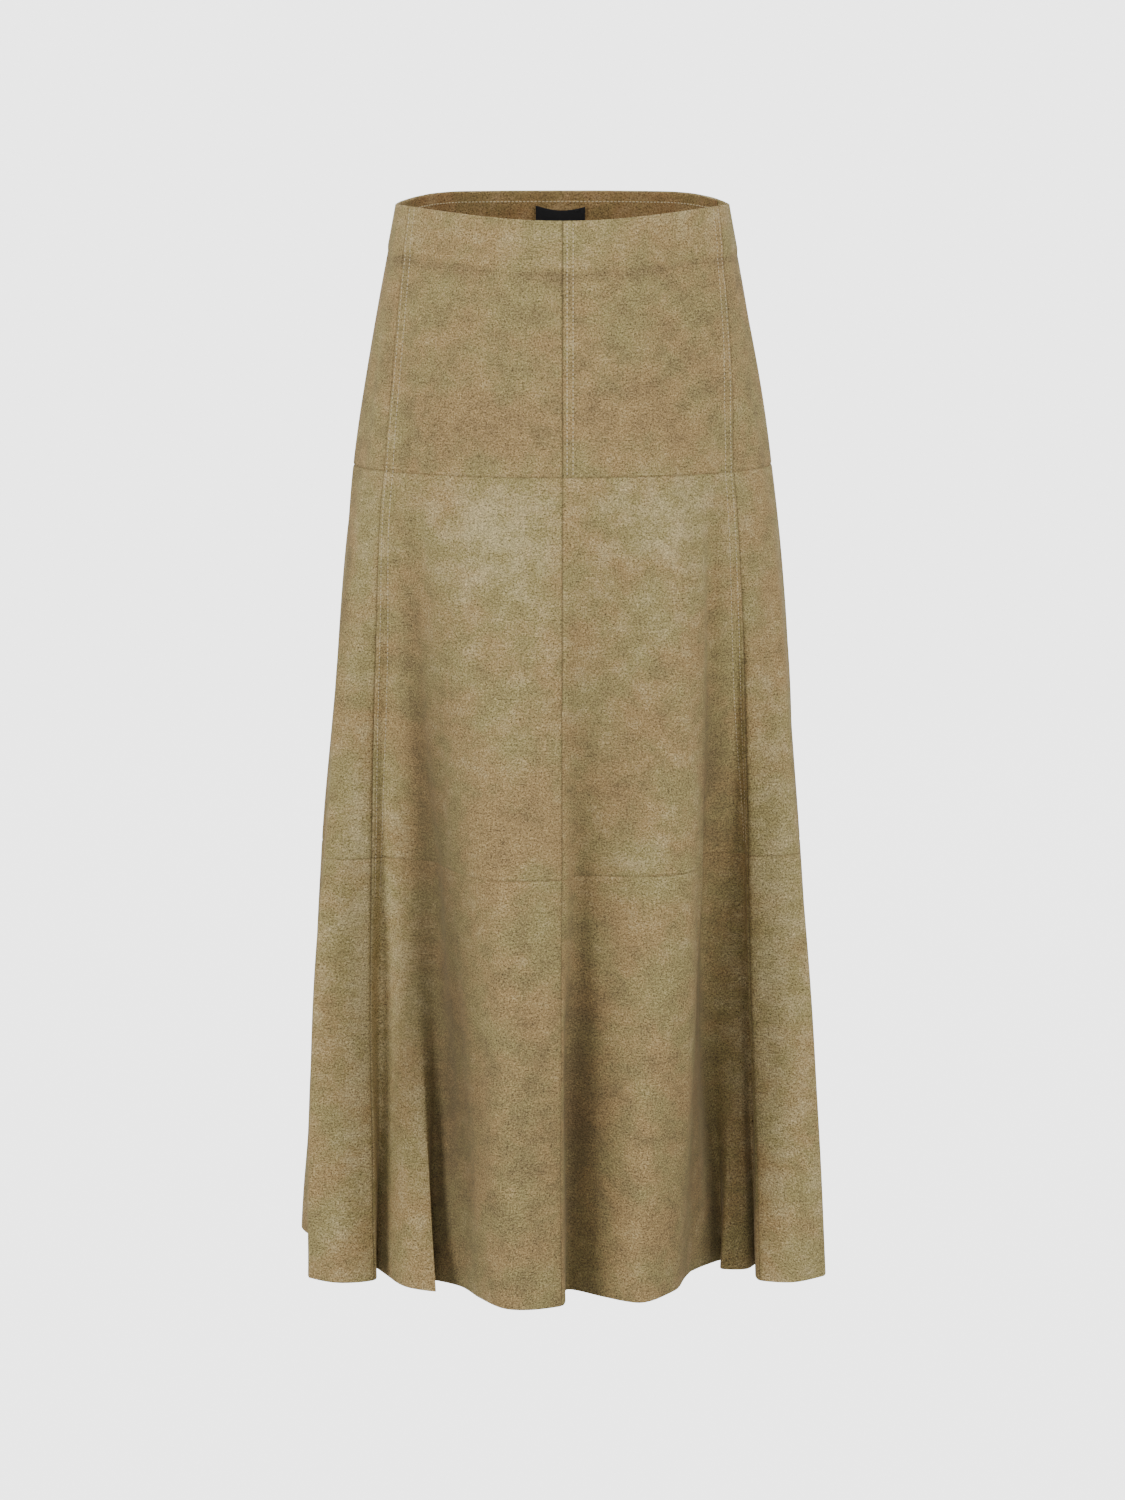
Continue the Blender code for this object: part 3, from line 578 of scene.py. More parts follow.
def tones_and_painted_shading(position, height):
    """How much lighter and warmer the cloth is coloured, point by point: the nap's tones, with painted
    light and painted shade among them.
    """
    drop = rim(position) - height
    lighter = BAND_TONE * fade(drop, FACING_DEPTH + 0.004) ** 0.25
    # painted shade just below the step that the facing's edge presses through
    lighter -= LEDGE_SHADE * fade(drop - FACING_DEPTH - 0.006, 0.007)
    lighter -= UPPER_TIER_SHADE * (height > HIP_SEAM)
    warmer = np.zeros_like(lighter)
    for fold, share, middle, half_width, half_height, light, warm in TONES_AND_PAINTED_SHADING:
        way = way_between(position, height, fold_at(fold, share)) / half_width
        patch = np.exp(-(way**2) - ((height - middle) / half_height) ** 2)
        lighter += light * patch
        warmer += warm * patch
    return lighter, warmer


def painted_hollow_shade(position, height):
    """Painted shade in the hollows, 0 to 1: how far the colour is darkened where the cloth lies in from
    the crests beside it.
    """
    deep = np.clip(hollow(position, height) / FULL_SHADE_DEPTH, 0, 1)
    deep *= 1 - HEM_EASE * np.clip((HEM_EASE_FROM - height) / (HEM_EASE_FROM - HEM), 0, 1)
    for fold, share, half_width, eased in SHALLOW_FOLDS:
        way = way_between(position, height, fold_at(fold, share)) / half_width
        deep *= 1 - eased * np.exp(-(way**4))
    return deep


# ------------------------------------------------------------- the sheets

EDGE_STEPS = np.array([0.000002, 0.0005, 0.0011, 0.0019, 0.0030, 0.0044, 0.0060])
LEDGE_STEPS = np.array([0.0290, 0.0312, 0.0332, 0.0350, 0.0368, 0.0388, 0.0410])
ARC = np.radians([45.0, 90.0, 135.0])  # steps round a rolled edge


class Patch:
    """A grid of places on the cloth, row by row downwards and round to the left."""

    def __init__(self, low, high, heights_of, targets):
        self.position = positions_at(targets, heights_of, low, high)
        self.height = heights_of(self.position)
        self.middle = surface(self.position, self.height)
        self.normal = outward(self.position, self.height)
        self.way = targets
        self.across = targets - (targets[:, :1] + targets[:, -1:]) / 2

    def area(self):
        """Area of the cloth, without its creases."""
        down = np.diff(self.middle, axis=0)[:, :-1]
        across = np.diff(self.middle, axis=1)[:-1]
        return float(np.linalg.norm(np.cross(down, across), axis=-1).sum())

    def size(self):
        """Widest row and the length down the middle."""
        widest = float((self.way[:, -1] - self.way[:, 0]).max())
        line = self.middle[:, self.middle.shape[1] // 2]
        return widest, float(np.linalg.norm(np.diff(line, axis=0), axis=-1).sum())


def paint_tones_and_shade(mesh, place, height, painted_seam_shade):
    """Stores the tones and the painted light and shade at every point, for the suede to read."""
    lighter, warmer = tones_and_painted_shading(place, height)
    deep = painted_hollow_shade(place, height)
    if painted_seam_shade is not None:  # it is given for the outer skin, whose points come first
        deep[: painted_seam_shade.size] = np.maximum(deep[: painted_seam_shade.size], painted_seam_shade.ravel())
    for label, values in (("lighter", lighter), ("warmer", warmer), ("deep", deep)):
        attribute = mesh.attributes.new(label, "FLOAT", "POINT")
        attribute.data.foreach_set("value", values.astype(np.float32))


def cloth_mesh(name, patch, outer, inner, rolled=(0.0, 0.0), shift=(0.0, 0.0), painted_seam_shade=None):
    """A closed thin mesh between two skins, its top and bottom edges rolled if asked.

    The last argument is the painted shade in the outer skin's seams, 0 to 1.
    """
    rows, across = patch.height.shape
    skins = [patch.middle + patch.normal * skin[..., None] for skin in (outer, inner)]
    points = [skin.reshape(-1, 3) for skin in skins]
    heights, ways = [patch.height.ravel()] * 2, [patch.across.ravel()] * 2
    places = [patch.position.ravel()] * 2
    front = np.arange(rows * across).reshape(rows, across)
    back = front + rows * across
    chains = []
    for row, inward, bulge in ((0, 1, rolled[0]), (-1, -2, rolled[1])):
        chain = [front[row]]
        if bulge:
            centre = (skins[0][row] + skins[1][row]) / 2
            away = patch.middle[row] - patch.middle[inward]
            away /= np.linalg.norm(away, axis=-1, keepdims=True)
            half = (skins[0][row] - skins[1][row]) / 2
            for angle in ARC:
                chain.append(np.arange(across) + sum(len(p) for p in points))
                points.append(
                    centre + half * math.cos(angle) + away * bulge * math.sin(angle)
                )
                heights.append(patch.height[row])
                ways.append(patch.across[row])
                places.append(patch.position[row])
        chains.append(chain + [back[row]])

    def quads(a, b, c, d):
        return np.stack([a.ravel(), b.ravel(), c.ravel(), d.ravel()], axis=1)

    outside = [quads(front[:-1, :-1], front[1:, :-1], front[1:, 1:], front[:-1, 1:])]
    inside = quads(back[:-1, :-1], back[:-1, 1:], back[1:, 1:], back[1:, :-1])
    outside.append(quads(front[:-1, 0], back[:-1, 0], back[1:, 0], front[1:, 0]))
    outside.append(quads(front[1:, -1], back[1:, -1], back[:-1, -1], front[:-1, -1]))
    for near, far in zip(chains[0][:-1], chains[0][1:], strict=True):
        outside.append(quads(near[1:], far[1:], far[:-1], near[:-1]))
    for near, far in zip(chains[1][:-1], chains[1][1:], strict=True):
        outside.append(quads(near[:-1], far[:-1], far[1:], near[1:]))
    faces = np.concatenate([*outside, inside]).tolist()
    if rolled[0]:
        faces.append([line[0] for line in (*chains[0][-1:], *chains[0][:-1])])
        faces.append([line[-1] for line in (chains[0][0], *chains[0][:0:-1])])
    if rolled[1]:
        faces.append([line[0] for line in (chains[1][0], *chains[1][:0:-1])])
        faces.append([line[-1] for line in (*chains[1][-1:], *chains[1][:-1])])
    faces = [[int(corner) for corner in face] for face in faces]

    mesh = bpy.data.meshes.new(name)
    mesh.from_pydata(np.concatenate(points).tolist(), [], faces)
    slots = np.zeros(len(faces), np.int32)
    first_inside = sum(len(part) for part in outside)
    slots[first_inside : first_inside + len(inside)] = 1
    mesh.polygons.foreach_set("material_index", slots)
    height = np.concatenate(heights)
    paint_tones_and_shade(mesh, np.concatenate(places), height, painted_seam_shade)
    plan = np.stack([np.concatenate(ways) + shift[0], height + shift[1]], axis=1)
    corners = np.zeros(len(mesh.loops), np.int32)
    mesh.loops.foreach_get("vertex_index", corners)
    layer = mesh.uv_layers.new(name="cloth")
    layer.data.foreach_set("uv", plan[corners].astype(np.float32).ravel())
    mesh.shade_smooth()
    mesh.set_sharp_from_angle(angle=math.radians(55))
    mesh.update()
    return mesh


def add_piece(name, mesh, materials, body="skirt", stands_for=()):
    """Shows a finished mesh as a piece that rides on a body."""
    piece = bpy.data.objects.new(name, mesh)
    bpy.context.scene.collection.objects.link(piece)
    mesh.materials.clear()  # this also puts every face on the first material
    for material in materials:
        mesh.materials.append(material)
    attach(piece, body)
    if stands_for:
        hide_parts(*stands_for)
    return piece


def tier_rows(top_steps, top, bottom, bottom_steps, spacing):
    """Heights of a tier's rows at any positions: fixed steps at both ends, even between."""
    first, last = top_steps[-1], bottom_steps[-1]
    count = math.ceil((float(np.max(top(0.0))) - bottom - first - last) / spacing)
    shares = np.arange(1, count) / count
    weight = np.concatenate([np.ones(len(top_steps)), 1 - shares, np.zeros(len(bottom_steps))])
    offset = np.concatenate(
        [-top_steps, -first * (1 - shares) + last * shares, bottom_steps[::-1]]
    )

    def heights_of(position):
        return weight[:, None] * top(position) + (1 - weight[:, None]) * bottom + offset[:, None]

    return heights_of


def gore_targets(start, end, heights_of, spacing):
    """Ways round for a gore's columns: close together at its seams, one on every crest."""
    crests = np.arange(start, end + 1.0)
    marks = girth(crests, heights_of(crests))
    low = marks[:, :1] + EDGE_STEPS
    high = marks[:, -1:] - EDGE_STEPS[::-1]
    marks[:, 0] += EDGE_STEPS[-1]
    marks[:, -1] -= EDGE_STEPS[-1]
    parts = [low]
    for left, right in zip(marks.T[:-1], marks.T[1:], strict=True):
        count = max(2, math.ceil((right - left).max() / spacing))
        shares = np.arange(1, count + 1) / count
        parts.append(left[:, None] + (right - left)[:, None] * shares)
    return np.concatenate([*parts[:-1], parts[-1][:, :-1], high], axis=1)


# ----------------------------------------------------------- the finishes


def linear(colour):
    """An sRGB hex colour as linear red, green and blue."""
    channels = [int(colour[start : start + 2], 16) / 255 for start in (0, 2, 4)]
    return [c / 12.92 if c <= 0.04045 else ((c + 0.055) / 1.055) ** 2.4 for c in channels]


def add_node(tree, kind, inputs=None, **settings):
    """Adds a node, with its settings, its values and the links into it."""
    node = tree.nodes.new(kind)
    for name, value in settings.items():
        setattr(node, name, value)
    for socket, value in (inputs or {}).items():
        if isinstance(value, bpy.types.NodeSocket):
            tree.links.new(value, node.inputs[socket])
        else:
            node.inputs[socket].default_value = value
    return node


def new_material(name, roughness, **values):
    """A material with its Principled shader, and the shader's plain values."""
    material = bpy.data.materials.new(name)
    material.use_nodes = True
    shader = material.node_tree.nodes["Principled BSDF"]
    shader.inputs["Roughness"].default_value = roughness
    for socket, value in values.items():
        shader.inputs[socket.replace("_", " ")].default_value = value
    return material, material.node_tree, shader


SHADE = "463A26"  # painted shade: the colour the cloth is darkened to at the bottom of a hollow or a seam
DARKEST = 0.62  # how far the painted shade turns the colour to SHADE
FACING_PAINTED_SHADE = (0.72, 0.62, 0.57)  # of the shell's red, green and blue: painted shade, the same suede darkened and warmed for the shade inside the waist


def brushed_suede(name, tan, olive, brown, pale):
    """Faux suede: knitted microfibre with a sanded, brushed face.

    The nap lies in patches that catch the light one way or the other, so its tone
    wanders, with short dry streaks across the brushing and a fine grain. It has no
    gloss, only a soft sheen of fibre ends at a low angle.
    """
    material, tree, shader = new_material(
        name, 0.92, Sheen_Weight=0.18, Sheen_Roughness=0.45, Specular_IOR_Level=0.22
    )
    shader.inputs["Sheen Tint"].default_value = (*linear("E6D8BC"), 1.0)
    cloth = add_node(tree, "ShaderNodeUVMap", uv_map="cloth").outputs["UV"]
    noises = {}
    for label, across, down, detail, rough in (
        # name, size across and down in millimetres, detail, roughness
        ("patches", 48.0, 46.0, 5.0, 0.62),
        ("clouds", 20.0, 18.0, 7.0, 0.70),
        ("streaks", 4.4, 2.4, 4.0, 0.65),
        ("flecks", 1.7, 1.5, 2.0, 0.60),
        ("grain", 1.0, 1.0, 1.0, 0.60),  # coarser than real fibre, so that it shows
    ):
        scale = (1000 / across, 1000 / down, 1.0)
        sized = add_node(
            tree, "ShaderNodeMapping", {"Vector": cloth, "Scale": scale}, vector_type="POINT"
        )
        noises[label] = add_node(
            tree,
            "ShaderNodeTexNoise",
            {
                "Vector": sized.outputs["Vector"],
                "Scale": 1.0,
                "Detail": detail,
                "Roughness": rough,
            },
        ).outputs["Fac"]
    # lighter carries the tone patches, painted light and painted shade among them
    lighter, warmer = (
        add_node(tree, "ShaderNodeAttribute", attribute_name=label).outputs["Fac"]
        for label in ("lighter", "warmer")
    )
    warmth = add_node(
        tree, "ShaderNodeMath", {0: warmer, 1: 0.28, 2: noises["patches"]}, operation="MULTIPLY_ADD"
    ).outputs["Value"]
    warmth = add_node(
        tree, "ShaderNodeMath", {0: noises["clouds"], 1: 0.55, 2: warmth}, operation="MULTIPLY_ADD"
    ).outputs["Value"]
    share = add_node(
        tree,
        "ShaderNodeMapRange",
        {"Value": warmth, "From Min": 0.64, "From Max": 0.92},
        interpolation_type="SMOOTHSTEP",
    ).outputs["Result"]
    hue = add_node(
        tree, "ShaderNodeMix", {0: share, 6: (*olive, 1.0), 7: (*tan, 1.0)}, data_type="RGBA"
    ).outputs[2]
    light = add_node(
        tree, "ShaderNodeMath", {0: lighter, 1: 0.13, 2: noises["clouds"]}, operation="MULTIPLY_ADD"
    ).outputs["Value"]
    speckled = add_node(
        tree, "ShaderNodeMath", {0: noises["flecks"], 1: 0.5}, operation="SUBTRACT"
    ).outputs["Value"]
    light = add_node(
        tree, "ShaderNodeMath", {0: speckled, 1: 0.35, 2: light}, operation="MULTIPLY_ADD"
    ).outputs["Value"]
    # the pale and the brown also carry the painted light and painted shade of the tone patches
    for low, high, most, colour in (
        # range of lightness over which the nap turns to a colour, and how far it goes
        (0.51, 0.76, 0.75, pale),
        (0.49, 0.26, 0.70, brown),
    ):
        turned = add_node(
            tree,
            "ShaderNodeMapRange",
            {"Value": light, "From Min": low, "From Max": high, "To Max": most},
        ).outputs["Result"]
        hue = add_node(
            tree, "ShaderNodeMix", {0: turned, 6: hue, 7: (*colour, 1.0)}, data_type="RGBA"
        ).outputs[2]
    level = 1.0
    for label, strength in (("streaks", 0.9), ("flecks", 1.7), ("grain", 2.3)):
        centred = add_node(
            tree, "ShaderNodeMath", {0: noises[label], 1: 0.5}, operation="SUBTRACT"
        ).outputs["Value"]
        level = add_node(
            tree, "ShaderNodeMath", {0: centred, 1: strength, 2: level}, operation="MULTIPLY_ADD"
        ).outputs["Value"]
    hue = add_node(
        tree, "ShaderNodeVectorMath", {0: hue, "Scale": level}, operation="SCALE"
    ).outputs["Vector"]
    # painted shade: the colour is darkened towards SHADE in the hollows between folds and in the seams
    deep = add_node(tree, "ShaderNodeAttribute", attribute_name="deep").outputs["Fac"]
    painted_shade = add_node(
        tree, "ShaderNodeMath", {0: deep, 1: DARKEST}, operation="MULTIPLY", use_clamp=True
    ).outputs["Value"]
    hue = add_node(
        tree, "ShaderNodeMix", {0: painted_shade, 6: hue, 7: (*linear(SHADE), 1.0)}, data_type="RGBA"
    ).outputs[2]
    tree.links.new(hue, shader.inputs["Base Color"])
    pile = add_node(
        tree,
        "ShaderNodeMath",
        {0: noises["streaks"], 1: 0.8, 2: noises["grain"]},
        operation="MULTIPLY_ADD",
    ).outputs["Value"]
    bump = add_node(
        tree, "ShaderNodeBump", {"Height": pile, "Strength": 0.45, "Distance": 0.0006}
    ).outputs["Normal"]
    tree.links.new(bump, shader.inputs["Normal"])
    return material


def woven_tape(name, colour, light, across, down, roughness=0.7):
    """Narrow woven tape, such as a label's or a zip's: fine ribs over and under."""
    material, tree, shader = new_material(name, roughness, Specular_IOR_Level=0.3)
    cloth = add_node(tree, "ShaderNodeUVMap", uv_map="cloth").outputs["UV"]
    waves = []
    for direction, spacing in (("X", across), ("Y", down)):
        # a wave texture at scale 1 has its bands a little over 0.3 units apart
        waves.append(
            add_node(
                tree,
                "ShaderNodeTexWave",
                {"Vector": cloth, "Scale": 0.314 / spacing, "Distortion": 0.4, "Detail": 1.0},
                wave_type="BANDS",
                bands_direction=direction,
            ).outputs["Fac"]
        )
    weave = add_node(
        tree, "ShaderNodeMath", {0: waves[0], 1: waves[1]}, operation="MULTIPLY"
    ).outputs["Value"]
    shade = add_node(
        tree, "ShaderNodeMix", {0: weave, 6: (*colour, 1.0), 7: (*light, 1.0)}, data_type="RGBA"
    ).outputs[2]
    tree.links.new(shade, shader.inputs["Base Color"])
    bump = add_node(
        tree, "ShaderNodeBump", {"Height": weave, "Strength": 0.5, "Distance": 0.0002}
    ).outputs["Normal"]
    tree.links.new(bump, shader.inputs["Normal"])
    return material


def knitted_back(colour, light):
    """The cloth's back: a fine warp knit, dull, with its ribs running down."""
    material = woven_tape("warp_knit_backing", colour, light, 0.0011, 0.0016, roughness=0.95)
    shader = material.node_tree.nodes["Principled BSDF"]
    shader.inputs["Specular IOR Level"].default_value = 0.15
    return material


def spun_thread(name, colour, light):
    """Spun polyester topstitching thread: two plies, slightly shiny, a twist showing."""
    material, tree, shader = new_material(
        name, 0.55, Sheen_Weight=0.15, Specular_IOR_Level=0.4
    )
    place = add_node(tree, "ShaderNodeTexCoord").outputs["Object"]
    twist = add_node(
        tree,
        "ShaderNodeTexNoise",
        {"Vector": place, "Scale": 900.0, "Detail": 2.0, "Roughness": 0.6},
    ).outputs["Fac"]
    shade = add_node(
        tree, "ShaderNodeMix", {0: twist, 6: (*colour, 1.0), 7: (*light, 1.0)}, data_type="RGBA"
    ).outputs[2]
    tree.links.new(shade, shader.inputs["Base Color"])
    return material


def lacquered_zinc(colour):
    """Die-cast zinc under coloured lacquer: smooth, a little uneven, worn at no edge."""
    material, tree, shader = new_material(
        "lacquered_zinc", 0.34, Metallic=0.55, Coat_Weight=0.4, Coat_Roughness=0.2
    )
    place = add_node(tree, "ShaderNodeTexCoord").outputs["Object"]
    flow = add_node(
        tree, "ShaderNodeTexNoise", {"Vector": place, "Scale": 420.0, "Detail": 2.0}
    ).outputs["Fac"]
    shade = add_node(
        tree,
        "ShaderNodeMix",
        {0: flow, 6: (*[0.8 * c for c in colour], 1.0), 7: (*colour, 1.0)},
        data_type="RGBA",
    ).outputs[2]
    tree.links.new(shade, shader.inputs["Base Color"])
    rough = add_node(
        tree, "ShaderNodeMapRange", {"Value": flow, "To Min": 0.26, "To Max": 0.42}
    ).outputs["Result"]
    tree.links.new(rough, shader.inputs["Roughness"])
    return material


# --------------------------------------------------------- sizes to change


def size_property(name, description, size):
    """A length that a user can change."""
    return FloatProperty(
        name=name, description=description, default=size, precision=5, unit="LENGTH"
    )


def strength_property(name, description, strength):
    """A brightness that a user can change."""
    return FloatProperty(name=name, description=description, default=strength)


def colour_property(name, description, colour):
    """A colour that a user can change."""
    return FloatVectorProperty(
        name=name, description=description, default=linear(colour), subtype="COLOR"
    )


class SkirtCloth(PropertyGroup):
    """Sizes of the cloth and its seams."""

    thickness: size_property("Thickness", "Thickness of the shell's cloth", 0.0010)
    spacing: size_property("Mesh Spacing", "Longest step of the mesh across a panel", 0.0030)
    row_spacing: size_property("Row Spacing", "Step of the mesh down a panel", 0.0042)
    groove: size_property("Seam Groove", "How deep the cloth turns down into a seam", 0.0007)
    groove_width: size_property("Groove Width", "How far from a seam its groove reaches", 0.0010)
    allowance: size_property("Seam Allowance", "Width of cloth turned back in a seam", 0.0100)
    hem_depth: size_property("Hem Depth", "Width of the cloth turned up inside the hem", 0.0200)


class SkirtStitching(PropertyGroup):
    """Sizes of the topstitching."""

    pitch: size_property("Stitch Pitch", "Length of one stitch with its gap", 0.0031)
    length: size_property("Stitch Length", "Length of thread that shows", 0.0023)
    thread: size_property("Thread Radius", "Radius of the thread", 0.00040)


class SkirtColours(PropertyGroup):
    """Colours of the finishes."""

    tan: colour_property("Tan", "Warm tone of the nap", "A48A5E")
    olive: colour_property("Olive", "Cool tone of the nap", "9B8D5E")
    brown: colour_property("Brown", "Where the nap is brushed dark", "7A674A")
    pale: colour_property("Pale", "Where the nap is brushed light", "C2B286")
    backing: colour_property("Backing", "Back of the cloth", "6E6044")
    label: colour_property("Label", "Woven label", "101012")
    tape: colour_property("Zip Tape", "Zip tape and coil", "7A6A4C")
    thread: colour_property("Thread", "Topstitching thread", "DCCBA2")
    metal: colour_property("Metal", "Lacquer on slider and pull", "8A7450")


class SkirtStage(PropertyGroup):
    """Camera, light and backdrop."""

    distance: size_property("Camera Distance", "From the camera to the skirt's middle", 3.0)
    elevation: FloatProperty(
        name="Camera Elevation",
        description="How far the camera looks down",
        default=math.radians(10.0),
        subtype="ANGLE",
    )
    backdrop: strength_property("Backdrop", "Brightness of the floor and backdrop", 4.3)
    air: strength_property("Air", "Brightness of the light from all round", 0.40)
    key: FloatProperty(
        name="Key Light",
        description="Power that every lamp takes a share of",
        default=66.0,
        unit="POWER",
    )
    floor_drop: size_property("Floor", "How far the floor lies below the waist", 1.04)


# --------------------------------------------------------------- operators

TIERS = (
    # name, highest row's height, lowest row's height
    ("upper", None, HIP_SEAM),
    ("middle", HIP_SEAM, KNEE_SEAM),
    ("lower", KNEE_SEAM, HEM),
)
GORE_SEAM_SHADE = 0.85  # how dark the painted shade lies in the seams down the skirt
TIER_SEAM_SHADE = 0.55  # and in those round it
ZIP_GORES = (("front_side_left", 1), ("back_side_left", 0))  # and which edge is the zip's


def material(name):
    """A finish of this skirt, made once."""
    found = bpy.data.materials.get(name)
    if found:
        return found
    colours = bpy.context.scene.skirt_colours
    nap = np.array([colours.tan, colours.olive, colours.brown, colours.pale])
    makers = {
        "brushed_faux_suede": lambda: brushed_suede(name, *nap),
        # the facings: the shell's suede darkened as painted shade
        "facing_suede_painted_shade": lambda: brushed_suede(name, *(FACING_PAINTED_SHADE * nap)),
        "warp_knit_backing": lambda: knitted_back(
            [0.75 * c for c in colours.backing], colours.backing
        ),
        "woven_label_tape": lambda: woven_tape(
            name, colours.label, [2.2 * c for c in colours.label], 0.0005, 0.0007
        ),
        "woven_zip_tape": lambda: woven_tape(
            name, [0.7 * c for c in colours.tape], colours.tape, 0.0009, 0.0007
        ),
        "spun_topstitch_thread": lambda: spun_thread(
            name, [0.75 * c for c in colours.thread], colours.thread
        ),
        "black_thread": lambda: spun_thread(name, linear("0C0C0D"), linear("2A2A2C")),
        "lacquered_zinc": lambda: lacquered_zinc(colours.metal),
    }
    return makers[name]()


def declare_sheet(patch):
    """Works out the flat size of a piece of cloth, as it is cut; nothing is done with it."""
    width, length = patch.size()
    min(patch.area(), width * length)


class SKIRT_OT_panels(Operator):
    """Make the twenty-four panels of the shell, with their creases and seams"""

    bl_idname = "skirt.panels"
    bl_label = "Shell Panels"

    def execute(self, context):
        cloth = context.scene.skirt_cloth
        half = cloth.thickness / 2
        ends = [fold_at(fold) for fold, _ in SEAMS] + [COUNT]
        for tier, (name, high, low) in enumerate(TIERS):
            upper, lower = high is None, low == HEM
            top = rim if upper else lambda position, high=high: np.full_like(position, high)
            rim_steps = np.array([0.0, 0.0008, 0.0020, 0.0040, 0.0075, 0.0115, 0.0155])
            between = np.array([0.0195, 0.0235, 0.0265])
            top_steps = np.concatenate([rim_steps, between, LEDGE_STEPS]) if upper else EDGE_STEPS
            bottom_steps = rim_steps[:4] if lower else EDGE_STEPS
            heights_of = tier_rows(top_steps, top, low, bottom_steps, cloth.row_spacing)
            for gore, (start, end) in enumerate(zip(ends[:-1], ends[1:], strict=True)):
                node = f"{name}_{GORES[gore]}"
                targets = gore_targets(start, end, heights_of, cloth.spacing)
                patch = Patch(start, end, heights_of, targets)
                lift = relief(patch.position, patch.height)
                outer = half + lift + stitch_relief(patch.position, patch.height)
                inner = lift - half
                marks = girth(np.array([start, end], float), heights_of(np.array([start, end], float)))
                sides = [targets - marks[:, :1], marks[:, 1:] - targets]
                from_top = top(patch.position) - patch.height
                to_bottom = patch.height - low
                seams = sides + ([] if upper else [from_top]) + ([] if lower else [to_bottom])
                for way in seams:
                    outer -= cloth.groove * np.exp(-((way / cloth.groove_width) ** 2))
                # painted shade in the seam grooves, stored with the painted shade of the hollows
                painted_seam_shade = GORE_SEAM_SHADE * fade(np.min(sides, axis=0), 0.0012)
                for way in seams[2:]:
                    painted_seam_shade = np.maximum(painted_seam_shade, TIER_SEAM_SHADE * fade(way, 0.0011))
                if upper:
                    outer += ledge_relief(patch.position, patch.height)
                turned = np.zeros_like(inner)
                for edge, way in enumerate(seams):
                    held = fade(way, cloth.allowance + 0.001) ** 0.35
                    if upper and edge < 2:
                        zipped = (GORES[gore], edge) in ZIP_GORES
                        held = held * (0 if zipped else np.clip((from_top - 0.038) / 0.004, 0, 1))
                    turned = np.maximum(turned, held)
                if lower:
                    turned = np.maximum(turned, fade(to_bottom, cloth.hem_depth + 0.001) ** 0.35)
                inner -= 0.0007 * turned
                rolled = (half if upper else 0.0, half if lower else 0.0)
                shift = (1.3 * gore, 0.7 * tier)
                mesh = cloth_mesh(node, patch, outer, inner, rolled, shift, painted_seam_shade)
                piece = add_piece(
                    f"{node}_cloth",
                    mesh,
                    [material("brushed_faux_suede"), material("warp_knit_backing")],
                    stands_for=[node],
                )
                declare_sheet(patch)
        return {"FINISHED"}


def strip_rows(top_drop, bottom_drop, count):
    """Heights of evenly spaced rows below the waist edge."""
    drops = np.linspace(top_drop, bottom_drop, count)[:, None]

    def heights_of(position):
        return rim(position) - drops

    return heights_of


def strip(middle, low_side, high_side, heights_of, spacing, low, high):
    """A patch that keeps its distances from a position, from low_side to high_side."""
    centre = np.array([middle], float)
    marks = girth(centre, heights_of(centre))
    count = math.ceil((high_side - low_side) / spacing)
    targets = marks + np.linspace(low_side, high_side, count + 1)
    return Patch(low, high, heights_of, targets)


class SKIRT_OT_facings(Operator):
    """Make the front and back waist facings"""

    bl_idname = "skirt.facings"
    bl_label = "Waist Facings"

    drop: FloatProperty(name="Drop", default=0.0005, unit="LENGTH")
    beside_zip: FloatProperty(name="Beside Zip", default=0.0123, unit="LENGTH")

    def execute(self, context):
        heights_of = strip_rows(self.drop, FACING_DEPTH, 13)
        left, right = fold_at("left_side_seam"), fold_at("right_side_seam")
        for name, low, high, low_gap, high_gap in (
            ("facing_back", left, right, self.beside_zip, 0.00015),
            ("facing_front", right, left + COUNT, 0.00015, self.beside_zip),
        ):
            ends = np.array([low, high], float)
            marks = girth(ends, heights_of(ends))
            start, end = marks[:, :1] + low_gap, marks[:, 1:] - high_gap
            count = math.ceil((end - start).max() / 0.003)
            targets = start + (end - start) * np.linspace(0, 1, count + 1)
            patch = Patch(low, high, heights_of, targets)
            lift = relief(patch.position, patch.height)
            drop = rim(patch.position) - patch.height
            soft = 0.00012 * np.sin(patch.way * 2 * math.pi / 0.017 + 3 * np.sin(patch.way * 40))
            press = 0.00018 * np.exp(-(((drop - 0.008) / 0.0012) ** 2))
            outer = lift - 0.00075
            inner = lift - 0.00165 + soft * fade(drop - FACING_DEPTH, 0.02) + press
            mesh = cloth_mesh(name, patch, outer, inner, (0.0003, 0.0004), (0.4, 2.9))
            mesh.polygons.foreach_set("material_index", np.zeros(len(mesh.polygons), np.int32))
            piece = add_piece(
                f"{name}_cloth",
                mesh,
                [material("facing_suede_painted_shade")],
                stands_for=[name],
            )
            declare_sheet(patch)
        return {"FINISHED"}


